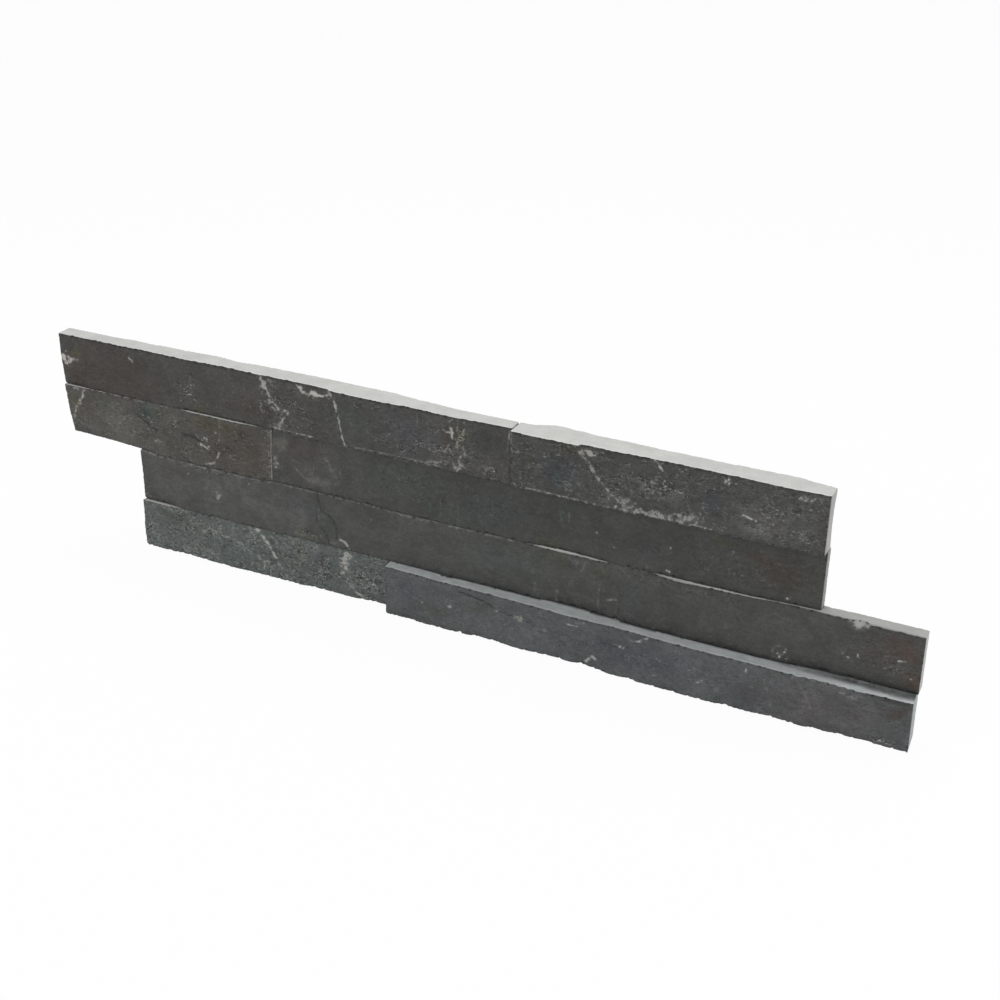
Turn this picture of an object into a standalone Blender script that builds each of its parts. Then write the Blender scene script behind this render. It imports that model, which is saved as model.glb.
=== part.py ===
"""Interlocking cladding panel of split slate strips.

Four courses of slate strips are glued edge to edge. The lower two courses are
shifted along the wall, so that the panel's ends interlock with its neighbours.
Each strip is sawn on its beds and ends and split along the cleavage on its
front and back. The strips have different thicknesses, so the face steps.

Frame, in metres: X runs along the courses and Z is up. The origin is at the
middle of the overall length, on the bottom bed, in the nominal face plane of
the top course. The face looks to -Y and the wall is on the +Y side.
"""
import math

import bmesh
import bpy
from mathutils import Vector, noise

MM = 0.001

# Driving dimensions, in millimetres
COURSE_LENGTH = 550.0
COURSE_OFFSET = 62.5
TOP_STONE_HEIGHT = 37.0
STONE_HEIGHT = 36.5
BOTTOM_STONE_HEIGHT = 34.5
GLUE_THICKNESS = 0.4
SEAT_CLEARANCE = 0.3
GLUE_RECESS = 1.6

# Where the joints between two strips of one course stand, from its left end
TOP_SPLIT = 350.0
SECOND_SPLIT = 171.5
BOTTOM_SPLIT = 200.0

# The split faces
FACE_GRID = 4.6
FACE_ROWS = 8
BACK_ROWS = 3
STEP_WIDTH = 0.8
CLEAVAGE_LAYER = 0.35
CLEAVAGE_SWING = 0.9
CLEAVAGE_LENGTH = 62.0
CLEAVAGE_HEIGHT = 24.0
ARRIS_RAGGEDNESS = 0.35
ARRIS_LENGTH = 7.0
ARRIS_SEED_SHIFT = 40.0

# Finish of the stone and of the cured glue
STONE_ROUGHNESS = 0.72
GLUE_ROUGHNESS = 0.6
GLUE_COLOR = (0.30, 0.29, 0.27)
GLUE_STATIONS = 28

# Levels that follow from the sizes above
JOINT = GLUE_THICKNESS + 2 * SEAT_CLEARANCE
OVERALL_LENGTH = COURSE_LENGTH + COURSE_OFFSET
BOTTOM_BED = 0.0
THIRD_BED = BOTTOM_BED + BOTTOM_STONE_HEIGHT + JOINT
SECOND_BED = THIRD_BED + STONE_HEIGHT + JOINT
TOP_BED = SECOND_BED + STONE_HEIGHT + JOINT


def clear_scene():
    """Remove the objects that the file starts with."""
    for obj in list(bpy.data.objects):
        bpy.data.objects.remove(obj, do_unlink=True)


def blend(low, high, share):
    """The value between two others at a share of the way."""
    return low + (high - low) * share


def read_profile(points, x):
    """The depth of a profile at x: straight lines between its points, and level past its ends."""
    if x <= points[0][0]:
        return points[0][1]
    for (x0, y0), (x1, y1) in zip(points, points[1:]):
        if x <= x1:
            return blend(y0, y1, (x - x0) / (x1 - x0))
    return points[-1][1]


class Stone:
    """One strip: its place in the panel and the depth profiles of its split faces.

    A profile is a list of points along the strip, from its own left end, with
    the depth there: negative towards the viewer, positive towards the wall.
    Each split face has one profile at its top edge and one at its bottom edge.
    A step is a line that a thicker layer ends at, from a point on the top edge
    to a point on the bottom edge.
    """

    def __init__(self, name, start, end, bed, height, front, back, steps=(),
                 left_lean=(0.0, 0.0), back_cut=0.0, seed=0.0, color=(0.04, 0.04, 0.04)):
        self.name = name
        self.start = start
        self.length = end - start
        self.bed = bed
        self.height = height
        self.front_top, self.front_bottom = front
        self.back_top, self.back_bottom = back
        self.steps = steps
        self.left_lean = left_lean
        self.back_cut = back_cut
        self.seed = seed
        self.color = color

    def front_depth(self, head, foot, share):
        """Depth of the front on the column from foot to head, before its relief."""
        return blend(read_profile(self.front_bottom, foot), read_profile(self.front_top, head), share)

    def back_depth(self, x, share):
        return blend(read_profile(self.back_bottom, x), read_profile(self.back_top, x), share)

    def thickness(self):
        """Thickness at the right end, which the slant of that end is measured over."""
        return self.back_depth(self.length, 1.0) - self.front_depth(self.length, self.length, 1.0)

    def right_end(self, y):
        """Where the sawn right end lies at depth y. It may be cut back towards the wall."""
        arris = read_profile(self.front_top, self.length)
        return self.length - self.back_cut * (y - arris) / self.thickness()

    def columns(self):
        """Heads and feet of the front's columns, with a close pair of columns at each step."""
        half = STEP_WIDTH / 2
        lines = [self.left_lean]
        for head, foot in self.steps:
            lines.append((head - half, foot - half))
            lines.append((head + half, foot + half))
        lines.append((self.length, self.length))
        columns = [lines[0]]
        for left, right in zip(lines, lines[1:]):
            span = max(right[0] - left[0], right[1] - left[1])
            count = max(1, round(span / FACE_GRID))
            for number in range(1, count + 1):
                share = number / count
                columns.append((blend(left[0], right[0], share), blend(left[1], right[1], share)))
        return columns

    def place(self, x, y, share):
        """A point of the strip in the panel's frame, in metres."""
        z = self.bed + self.height * share
        return Vector((self.start + x - OVERALL_LENGTH / 2, y, z)) * MM


def cleavage_relief(x, z, share, seed):
    """Small terraces of the split face. They fade at the edges, which only stay ragged."""
    swell = noise.noise(Vector((x / CLEAVAGE_LENGTH, z / CLEAVAGE_HEIGHT, seed))) * CLEAVAGE_SWING
    layer = math.floor(swell / CLEAVAGE_LAYER)
    rise = swell / CLEAVAGE_LAYER - layer
    terrace = (layer + rise * rise * (3 - 2 * rise)) * CLEAVAGE_LAYER
    place = Vector((x / ARRIS_LENGTH, z / ARRIS_LENGTH, seed + ARRIS_SEED_SHIFT))
    ragged = noise.noise(place) * ARRIS_RAGGEDNESS
    inside = math.sin(math.pi * share) ** 0.5 if 0 < share < 1 else 0.0
    return terrace * inside + ragged


def front_columns(stone, mesh):
    """The vertices of the split front, column by column."""
    grid = []
    for head, foot in stone.columns():
        column = []
        for row in range(FACE_ROWS + 1):
            share = row / FACE_ROWS
            x = blend(foot, head, share)
            z = stone.bed + stone.height * share
            y = stone.front_depth(head, foot, share)
            y += cleavage_relief(stone.start + x, z, share, stone.seed)
            if head == stone.length:
                x = stone.right_end(y)
            column.append(mesh.verts.new(stone.place(x, y, share)))
        grid.append(column)
    return grid


def back_columns(stone, mesh):
    """The vertices of the split back, with one column at each point of its profiles."""
    stations = {0.0, stone.length}
    for x, _ in stone.back_top + stone.back_bottom:
        stations.add(min(x, stone.length))
    grid = []
    for station in sorted(stations):
        column = []
        for row in range(BACK_ROWS + 1):
            share = row / BACK_ROWS
            y = stone.back_depth(station, share)
            x = station
            if station == 0.0:
                x = blend(stone.left_lean[1], stone.left_lean[0], share)
            if station == stone.length:
                x = stone.right_end(y)
            column.append(mesh.verts.new(stone.place(x, y, share)))
        grid.append(column)
    return grid


def skin(mesh, grid):
    """Quads between neighbouring columns."""
    for left, right in zip(grid, grid[1:]):
        for row in range(len(left) - 1):
            mesh.faces.new((left[row], right[row], right[row + 1], left[row + 1]))


def sawn_faces(mesh, front, back):
    """The four flat sawn faces, each one polygon between the two split faces."""
    bottom = [column[0] for column in front] + [column[0] for column in reversed(back)]
    top = [column[-1] for column in front] + [column[-1] for column in reversed(back)]
    left = front[0] + back[0][::-1]
    right = front[-1] + back[-1][::-1]
    for outline in (bottom, top, left, right):
        mesh.faces.new(outline)


def stone_material(name, color, roughness):
    material = bpy.data.materials.new(name)
    material.use_nodes = True
    shader = material.node_tree.nodes["Principled BSDF"]
    shader.inputs["Base Color"].default_value = (*color, 1.0)
    shader.inputs["Roughness"].default_value = roughness
    shader.inputs["Metallic"].default_value = 0.0
    return material


def add_object(name, mesh, material):
    """Turn a bmesh into a named object with outward faces."""
    bmesh.ops.recalc_face_normals(mesh, faces=mesh.faces)
    data = bpy.data.meshes.new(name)
    mesh.to_mesh(data)
    mesh.free()
    data.materials.append(material)
    obj = bpy.data.objects.new(name, data)
    bpy.context.scene.collection.objects.link(obj)
    return obj


def make_stone(stone):
    mesh = bmesh.new()
    front = front_columns(stone, mesh)
    back = back_columns(stone, mesh)
    skin(mesh, front)
    skin(mesh, back)
    sawn_faces(mesh, front, back)
    return add_object(stone.name, mesh, stone_material(stone.name, stone.color, STONE_ROUGHNESS))


def front_at_bed(stone, x, share):
    """Depth of the front at a bed, x being measured along the panel."""
    return stone.front_depth(x - stone.start, x - stone.start, share)


def back_at_bed(stone, x, share):
    return stone.back_depth(x - stone.start, share)


def stones_at(stones, x):
    """The strip of a course that covers x, or the nearest one at a joint."""
    return min(stones, key=lambda stone: max(stone.start - x, x - stone.start - stone.length))


def make_bed_glue(name, lower, upper, material):
    """The glue between two courses: a thin sheet, set back from the faces that meet over it."""
    first = max(lower[0].start, upper[0].start) + GLUE_RECESS
    ends = [stones[-1].start + stones[-1].length - stones[-1].back_cut for stones in (lower, upper)]
    last = min(ends) - GLUE_RECESS
    level = lower[0].bed + lower[0].height + SEAT_CLEARANCE
    near = []
    far = []
    for number in range(GLUE_STATIONS + 1):
        x = blend(first, last, number / GLUE_STATIONS)
        below = stones_at(lower, x)
        above = stones_at(upper, x)
        face = max(front_at_bed(below, x, 1.0), front_at_bed(above, x, 0.0))
        wall = min(back_at_bed(below, x, 1.0), back_at_bed(above, x, 0.0))
        inset = min(GLUE_RECESS, (wall - face) / 4)
        near.append((x, face + inset))
        far.append((x, wall - inset))
    mesh = bmesh.new()
    corners = []
    for x, y in near + far[::-1]:
        corners.append(mesh.verts.new(Vector((x - OVERALL_LENGTH / 2, y, level)) * MM))
    sheet = mesh.faces.new(corners)
    raised = bmesh.ops.extrude_face_region(mesh, geom=[sheet])
    for item in raised["geom"]:
        if isinstance(item, bmesh.types.BMVert):
            item.co.z += GLUE_THICKNESS * MM
    return add_object(name, mesh, material)


def make_butt_glue(name, left, right, material):
    """The glue between the ends of two strips of one course."""
    x = left.start + left.length
    face = max(front_at_bed(stone, x, share) for stone in (left, right) for share in (0.0, 1.0))
    wall = min(back_at_bed(stone, x, share) for stone in (left, right) for share in (0.0, 1.0))
    near = face + GLUE_RECESS
    far = wall - GLUE_RECESS
    low = left.bed + GLUE_RECESS
    high = left.bed + left.height - GLUE_RECESS
    mesh = bmesh.new()
    bmesh.ops.create_cube(mesh, size=1.0)
    size = Vector((GLUE_THICKNESS, far - near, high - low)) * MM
    middle = Vector((x + JOINT / 2 - OVERALL_LENGTH / 2, (near + far) / 2, (low + high) / 2)) * MM
    for vertex in mesh.verts:
        vertex.co = Vector([vertex.co[axis] * size[axis] + middle[axis] for axis in range(3)])
    return add_object(name, mesh, material)


def top_course():
    left = Stone(
        "top_course_left_stone", 0.0, TOP_SPLIT - JOINT / 2, TOP_BED, TOP_STONE_HEIGHT,
        front=(
            [(0, -0.9), (34, -0.3), (110, -0.4), (130, 0.6), (205, 1.2), (218.6, 0.6), (219.4, -1.2),
             (262, -1.8), (275, -0.4), (312, -1.3), (322, -0.3), (349, 0.6)],
            [(0, 0.8), (18, 0.7), (24, 0.1), (98, -0.1), (105, 0.9), (148, 1.0), (165, 0.7), (180, 0.2),
             (195, -0.2), (230.6, -0.1), (231.4, -0.8), (290.6, -0.5), (291.4, -1.2), (349, -1.1)]),
        back=(
            [(0, 11.3), (45, 11.3), (55, 13.2), (105, 13.5), (122, 15.1), (141, 13.3), (152, 14.4),
             (182, 15.4), (260, 15.7), (269, 13.9), (305, 11.3), (349, 11.4)],
            [(0, 12.2), (80, 12.2), (120, 13.8), (260, 14.0), (300, 12.0), (349, 12.0)]),
        steps=[(219, 231), (317, 291)], back_cut=1.0, seed=1.0, color=(0.070, 0.062, 0.055))
    right = Stone(
        "top_course_right_stone", TOP_SPLIT + JOINT / 2, COURSE_LENGTH, TOP_BED, TOP_STONE_HEIGHT,
        front=(
            [(0, -3.4), (6, -4.0), (41, -4.0), (45.1, -3.6), (45.9, -0.8), (70, -1.0), (85, -0.3),
             (150, 0.0), (178, -1.2), (184, -0.3), (199, 0.0)],
            [(0, -2.4), (13, -3.4), (42, -3.2), (50, -3.6), (70.6, -3.8), (71.4, -3.1), (90, -2.7),
             (125, -2.6), (140, -2.9), (170, -2.8), (199, -2.4)]),
        back=(
            [(0, 11.4), (7, 11.5), (13, 14.0), (21, 17.8), (28, 18.0), (34, 16.5), (41, 17.0),
             (48, 15.4), (177, 15.7), (186, 13.6), (199, 12.6)],
            [(0, 12.0), (30, 14.5), (60, 14.2), (150, 13.5), (180, 11.0), (199, 9.4)]),
        steps=[(45.5, 71)], seed=2.0, color=(0.066, 0.064, 0.060))
    return [left, right]


def second_course():
    left = Stone(
        "second_course_left_stone", 0.0, SECOND_SPLIT - JOINT / 2, SECOND_BED, STONE_HEIGHT,
        front=(
            [(0, -1.2), (18, -1.2), (24, -0.7), (66, -0.7), (75, -0.3), (98, -0.3), (105, -1.2),
             (147, -1.2), (154, 0.0), (171, 0.6)],
            [(0, 3.2), (6, 2.8), (32, 2.6), (45, 1.6), (60, 0.1), (72, -0.4), (82, -3.0), (150, -3.3),
             (160, -2.8), (171, -1.3)]),
        back=(
            [(0, 12.4), (70, 12.4), (90, 13.6), (171, 13.6)],
            [(0, 12.0), (70, 12.0), (90, 13.2), (171, 13.2)]),
        left_lean=(0.6, 1.7), seed=3.0, color=(0.075, 0.070, 0.062))
    right = Stone(
        "second_course_right_stone", SECOND_SPLIT + JOINT / 2, COURSE_LENGTH, SECOND_BED, STONE_HEIGHT,
        front=(
            [(0, 1.4), (140, 1.6), (230, 1.2), (300, 2.0), (350, 3.6), (378, 4.7)],
            [(0, -1.3), (8, -0.6), (78, -0.9), (90, -1.2), (98, -2.0), (128, -2.0), (134, -1.4),
             (190, -1.2), (198, 0.3), (208, 0.9), (223, 0.9), (238, 0.2), (248, -0.6), (272, -0.6),
             (277, 0.0), (334, 0.0), (348, 0.9), (358, 2.3), (378, 3.0)]),
        back=(
            [(0, 13.6), (110, 13.6), (118, 12.6), (300, 12.6), (330, 11.8), (378, 11.8)],
            [(0, 13.0), (120, 12.4), (320, 12.0), (350, 10.4), (378, 9.6)]),
        seed=4.0, color=(0.056, 0.055, 0.050))
    return [left, right]


def third_course():
    stone = Stone(
        "third_course_stone", COURSE_OFFSET, COURSE_OFFSET + COURSE_LENGTH, THIRD_BED, STONE_HEIGHT,
        front=(
            [(0, -1.4), (10, -1.4), (20, -3.0), (38, -3.3), (88, -3.3), (98, -2.8), (109, -1.4),
             (118, -0.7), (190, -0.9), (200, -1.4), (208, -2.9), (236, -2.9), (243, -1.4), (300, -1.2),
             (308, -2.0), (346, -2.0), (358, -0.6), (380, -0.6), (386, -1.4), (392, -2.9), (398, -3.8),
             (406, -3.4), (418, -2.3), (438, -1.5), (448, -0.9), (455, 0.0), (462, 0.7), (482, 1.0),
             (508, -0.2), (512, 2.2), (516, -0.2), (550, 0.1)],
            [(0, -0.8), (21, -0.8), (36, -2.8), (92, -2.8), (118, -2.1), (234, -2.0), (240, -3.3),
             (247, -3.2), (252, -2.3), (307, -2.5), (315, -0.8), (337, -0.5), (346, -2.6),
             (364.1, -2.8), (364.9, -4.5), (452, -4.5), (466, -3.9), (490, -1.7), (508, -1.1),
             (550, -0.9)]),
        back=(
            [(0, 11.6), (120, 11.6), (135, 10.6), (440, 10.6), (455, 9.5), (550, 9.8)],
            [(0, 11.2), (120, 11.2), (135, 10.6), (440, 10.6), (455, 9.6), (550, 9.6)]),
        steps=[(365, 364.5)], back_cut=0.4, seed=5.0, color=(0.072, 0.070, 0.066))
    return [stone]


def bottom_course():
    joint = COURSE_OFFSET + BOTTOM_SPLIT
    left = Stone(
        "bottom_course_left_stone", COURSE_OFFSET, joint - JOINT / 2, BOTTOM_BED, BOTTOM_STONE_HEIGHT,
        front=(
            [(0, -3.9), (22, -3.9), (34, -3.2), (40, -2.7), (92, -2.7), (118, -2.0), (199, -1.8)],
            [(0, -4.8), (22, -4.6), (38, -3.6), (55, -4.6), (78, -4.9), (98, -3.8), (130, -4.0),
             (136, -2.4), (170, -2.6), (186, -0.8), (199, -0.8)]),
        back=(
            [(0, 11.0), (90, 11.4), (199, 11.4)],
            [(0, 10.6), (90, 11.0), (199, 11.0)]),
        left_lean=(0.3, 0.9), seed=6.0, color=(0.080, 0.088, 0.086))
    right = Stone(
        "bottom_course_right_stone", joint + JOINT / 2, COURSE_OFFSET + COURSE_LENGTH,
        BOTTOM_BED, BOTTOM_STONE_HEIGHT,
        front=(
            [(0, -9.3), (25, -10.2), (45, -10.9), (110, -11.3), (133, -12.4), (165, -11.8), (200, -13.0),
             (262, -12.9), (281, -13.8), (295, -12.6), (315, -13.7), (330, -12.2), (349, -11.7)],
            [(0, -10.0), (40, -10.4), (60, -10.0), (69, -8.2), (80, -9.4), (108, -10.6), (120, -8.1),
             (135, -9.7), (145, -8.2), (160, -11.0), (225, -12.2), (270, -9.9), (285, -11.2),
             (310, -8.8), (349, -9.3)]),
        back=(
            [(0, 11.0), (160, 11.0), (175, 10.0), (349, 10.0)],
            [(0, 10.8), (160, 10.8), (175, 9.8), (349, 9.8)]),
        back_cut=2.0, seed=7.0, color=(0.078, 0.084, 0.090))
    return [left, right]


def main():
    clear_scene()
    courses = [top_course(), second_course(), third_course(), bottom_course()]
    for course in courses:
        for stone in course:
            make_stone(stone)
    glue = stone_material("glue", GLUE_COLOR, GLUE_ROUGHNESS)
    bed_names = ["upper_bed_glue", "middle_bed_glue", "lower_bed_glue"]
    for name, upper, lower in zip(bed_names, courses, courses[1:]):
        make_bed_glue(name, lower, upper, glue)
    butt_names = ["top_butt_glue", "second_butt_glue", "bottom_butt_glue"]
    split_courses = [course for course in courses if len(course) == 2]
    for name, (left, right) in zip(butt_names, split_courses):
        make_butt_glue(name, left, right, glue)


main()
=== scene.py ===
import math
import random

import bpy
import numpy as np
from mathutils import Matrix, Vector, noise
from mathutils.bvhtree import BVHTree


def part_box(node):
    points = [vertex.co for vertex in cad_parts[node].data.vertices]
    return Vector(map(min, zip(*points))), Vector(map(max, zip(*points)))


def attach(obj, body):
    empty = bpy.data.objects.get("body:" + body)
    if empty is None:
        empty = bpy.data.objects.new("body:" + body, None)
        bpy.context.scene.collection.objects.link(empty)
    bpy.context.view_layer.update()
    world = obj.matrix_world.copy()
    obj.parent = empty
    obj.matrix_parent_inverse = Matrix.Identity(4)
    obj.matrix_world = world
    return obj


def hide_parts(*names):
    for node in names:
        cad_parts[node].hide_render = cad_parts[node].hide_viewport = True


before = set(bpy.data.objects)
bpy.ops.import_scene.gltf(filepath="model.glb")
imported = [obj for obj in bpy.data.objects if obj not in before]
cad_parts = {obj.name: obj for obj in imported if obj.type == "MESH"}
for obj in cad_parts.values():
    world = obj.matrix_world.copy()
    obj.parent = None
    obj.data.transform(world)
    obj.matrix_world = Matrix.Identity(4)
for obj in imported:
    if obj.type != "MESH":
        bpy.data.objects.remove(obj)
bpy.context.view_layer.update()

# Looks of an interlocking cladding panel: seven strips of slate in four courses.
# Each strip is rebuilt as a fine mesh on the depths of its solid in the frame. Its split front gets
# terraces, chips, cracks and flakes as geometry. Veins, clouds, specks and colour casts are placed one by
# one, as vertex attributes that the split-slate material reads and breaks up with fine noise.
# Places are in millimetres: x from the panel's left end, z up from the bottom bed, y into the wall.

MM = 0.001
BODY = "root"
PANEL_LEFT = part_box("top_course_left_stone")[0].x / MM
FLOOR_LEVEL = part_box("bottom_course_left_stone")[0].z / MM

# The meshes, in millimetres and degrees
GRID = 0.75
EDGE_INSET = 0.15
END_REACH = 4.0
LEVEL_TOLERANCE = 0.02
BOX_MARGIN = 0.02
RAY_LEAD = 5.0
SMOOTHING = 1.2
STEP_KEPT = 0.7
STEP_FADE = 0.45
SEAM_CLOSING = 0.3
FAR = 1e6
SHARP_ANGLE = 40.0

# Noises over a split face: length and height of their swells, what is added to its seed, octaves
FINE = (2.2, 2.0, 11.0, 3)
CRUMB = (3.6, 3.0, 17.0, 4)
BROAD = (9.0, 7.0, 23.0, 3)
LAYERS = (46.0, 17.0, 31.0, 4)
STREAKS = (7.0, 2.4, 43.0, 3)
COARSE = (3.4, 2.6, 47.0, 3)
BITES_ALONG = (2.6, 40.0, 61.0, 3)
BITES_UP = (40.0, 2.6, 67.0, 3)
BACK_SEED = 500.0

# The relief of a split face: how its layers swell, how its streaks lean, how its arrises wear
LAYER_SWELL = 2.2
LAYER_EDGE = 0.16
STREAK_LEAN = 0.6
STREAK_DIP = 0.22
FOOT_REACH = 3.4
ARRIS_REACH = 1.7
ARRIS_WEAR = 0.12
ARRIS_WEAR_REACH = 0.7
# TOP_LINE_DROP and TOP_LINE_REACH place the broken line of painted shade under the top arris.
TOP_LINE_DROP = 0.9
TOP_LINE_REACH = 1.1

# The sawn bands: shares of the way from the front to the back, how bright they are, and their smears
BAND_SHARES = (0.0, 0.02, 0.05, 0.09, 0.14, 0.2, 0.27, 0.35, 0.43, 0.52, 0.65, 0.8, 0.93, 0.98, 1.0)
# RIM_SHARE is how far the painted highlight along the front arris of a top reaches.
RIM_SHARE = 0.06
END_RIM_SHARE = 0.15
END_RIM_LIGHT = -0.3
# The tone of a top where a strip of the course above stands on it is painted shade.
COVERED_SHADE_TONE = 0.22
DARKEST_TONE = 0.1
SMEAR_LENGTH = 8.0
SMEAR_WIDTH = 1.4
SMEAR_SEED = 5.0

# The glue, in millimetres
GLUE_NODES = ("upper_bed_glue", "middle_bed_glue", "lower_bed_glue",
              "top_butt_glue", "second_butt_glue", "bottom_butt_glue")
GLUE_COLUMNS = 3
GLUE_EASE = 0.05
GLUE_BACK = 1.2
GLUE_PROBE = 0.5
GLUE_LEAST_RECESS = 0.05
GLUE_FRONT_BUMPS = 0.35
GLUE_BACK_BUMPS = 0.3
GLUE_FRONT_SWELLS = (1.6, 2.4, 71.0)
GLUE_BACK_SWELLS = (1.6, 2.4, 73.0)

# The camera that the photograph was taken with
CAMERA_PLACE = (0.461039, -0.843610, 0.568223)
CAMERA_AZIMUTH = 26.7486
CAMERA_ELEVATION = 26.4907
CAMERA_ROLL = 0.3864
CAMERA_LENS = 61.015
CAMERA_SENSOR = 36.0

# The studio, in metres, apart from the drop of the floor below the stones, which is in millimetres.
# Each softbox has a place, a width, a height and a power.
FLOOR_HALF = 6.0
FLOOR_DROP = 0.2
FLOOR_GREY = (0.8, 0.8, 0.8, 1.0)
FLOOR_GLOW = 0.95
WORLD_STRENGTH = 0.55
LIGHT_TARGET = (0.0, 0.0, 0.07)
SOFTBOXES = {
    "overhead_softbox": ((0.05, 0.25, 1.5), 1.6, 1.0, 11.0),
    "front_softbox": ((-0.9, -1.6, 1.1), 1.2, 0.9, 11.0),
    "right_softbox": ((1.8, -0.5, 0.9), 0.9, 0.9, 9.0),
}


def linear(red, green, blue):
    """A colour given in sRGB steps from 0 to 255, as linear light."""
    channels = []
    for value in (red, green, blue):
        share = value / 255
        channels.append(share / 12.92 if share <= 0.04045 else ((share + 0.055) / 1.055) ** 2.4)
    return tuple(channels)


# Colour casts of the split slate
BROWN = linear(63, 56, 51)
UMBER = linear(54, 46, 41)
RUST = linear(72, 57, 48)
OLIVE = linear(68, 66, 48)
GREEN = linear(60, 67, 60)
TEAL = linear(58, 68, 67)
BLUE = linear(58, 63, 70)
PURPLE = linear(66, 62, 68)
DARK_SLATE = linear(50, 52, 50)
PALE_SLATE = linear(92, 91, 87)

# The hidden back: how far apart its marks are, its colours, and the draws up to which a mark is a flake
# or a vein and not a crack
BACK_PITCH = 55.0
BACK_TINTS = (linear(76, 76, 73), linear(73, 70, 66), linear(72, 75, 73), linear(80, 82, 82),
              linear(74, 74, 70))
BACK_CASTS = (BROWN, UMBER, OLIVE, GREEN, TEAL, BLUE, PALE_SLATE)
FLAKES_UP_TO = 0.45
VEINS_UP_TO = 0.8

# Colours of the materials
MINERAL = (*linear(188, 187, 181), 1.0)
# The colour of painted shade in cracks, chips, under top arrises and at the third course's foot; pits take it
# too.
CREVICE_SHADE = (*linear(20, 20, 19), 1.0)
SAWN_TINT = linear(200, 200, 197)
GLUE_DARK = (*linear(74, 73, 69), 1.0)
GLUE_PALE = (*linear(138, 136, 130), 1.0)
WHITE = (1.0, 1.0, 1.0, 1.0)


def fractal(x, z, length, height, seed, octaves=3):
    """Smooth noise from about -1 to 1 at a grid of places. Its swells have that length and height."""
    values = []
    for across, up in zip((x / length).ravel().tolist(), (z / height).ravel().tolist()):
        values.append(noise.fractal(Vector((across, up, seed)), 1.0, 2.0, octaves))
    return np.array(values).reshape(x.shape)


def fall(distance, radius):
    """1 at no distance, 0 from the radius on, with a smooth curve between."""
    share = np.clip(1.0 - distance / radius, 0.0, 1.0)
    return share * share * (3.0 - 2.0 * share)


def terraces(swell, layer, edge):
    """Turn a smooth swell into flat layers whose edges take up the given share of the way."""
    level = np.floor(swell / layer)
    rise = (swell / layer - level - 0.5) / edge + 0.5
    return (level + fall(1.0 - np.clip(rise, 0.0, 1.0), 1.0)) * layer


def blurred(values, radius):
    """A Gaussian blur along both directions of a grid, with its edges repeated."""
    reach = max(1, round(3 * radius))
    weights = np.exp(-0.5 * (np.arange(-reach, reach + 1) / radius) ** 2)
    weights /= weights.sum()
    for axis in (0, 1):
        pads = [(reach, reach) if number == axis else (0, 0) for number in (0, 1)]
        padded = np.pad(values, pads, mode="edge")
        count = values.shape[axis]
        total = np.zeros_like(values)
        for offset, weight in enumerate(weights):
            window = [slice(None), slice(None)]
            window[axis] = slice(offset, offset + count)
            total += weight * padded[tuple(window)]
        values = total
    return values


class Solid:
    """A stone of the frame: its outline and its depths, in millimetres of the panel."""

    def __init__(self, node):
        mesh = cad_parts[node].data
        points = np.array([vertex.co for vertex in mesh.vertices]) / MM
        points[:, 0] -= PANEL_LEFT
        self.points = points
        self.low = points.min(axis=0)
        self.high = points.max(axis=0)
        self.middle = (self.low[1] + self.high[1]) / 2
        faces = [tuple(face.vertices) for face in mesh.polygons]
        self.tree = BVHTree.FromPolygons([Vector(point) for point in points], faces)
        self.foot_front = self.foot(points[:, 1] < self.middle)
        self.foot_back = self.foot(points[:, 1] >= self.middle)

    def foot(self, side):
        """The bottom arris of the front or the back, from left to right."""
        arris = self.points[side & (self.points[:, 2] < self.low[2] + EDGE_INSET)]
        return arris[np.argsort(arris[:, 0])]

    def covers(self, x, y):
        """Whether the stone stands over a place on the course below it."""
        if not self.low[0] <= x <= self.high[0]:
            return False
        front = np.interp(x, self.foot_front[:, 0], self.foot_front[:, 1])
        back = np.interp(x, self.foot_back[:, 0], self.foot_back[:, 1])
        return front - EDGE_INSET < y < back

    def outline(self, z, front, pick):
        """Where the left (pick=min) or right (pick=max) end of the front or back lies at heights z."""
        side = self.points[(self.points[:, 1] < self.middle) == front]
        side = side[np.abs(side[:, 0] - pick(side[:, 0])) < END_REACH]
        levels = np.unique(side[:, 2].round(2))
        ends = [pick(side[np.abs(side[:, 2] - level) < LEVEL_TOLERANCE, 0]) for level in levels]
        return np.interp(z, levels, ends)

    def depths(self, x, z, front):
        """Depth of the front or the back at a grid of places, read by rays."""
        toward = 1.0 if front else -1.0
        start = (self.low[1] if front else self.high[1]) - toward * RAY_LEAD
        result = []
        for across, up in zip(x.ravel().tolist(), z.ravel().tolist()):
            hit = self.tree.ray_cast(Vector((across, start, up)), Vector((0.0, toward, 0.0)))[0]
            result.append(hit.y if hit else np.nan)
        grid = np.array(result).reshape(x.shape)
        return np.where(np.isnan(grid), np.nanmean(grid), grid)


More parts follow.
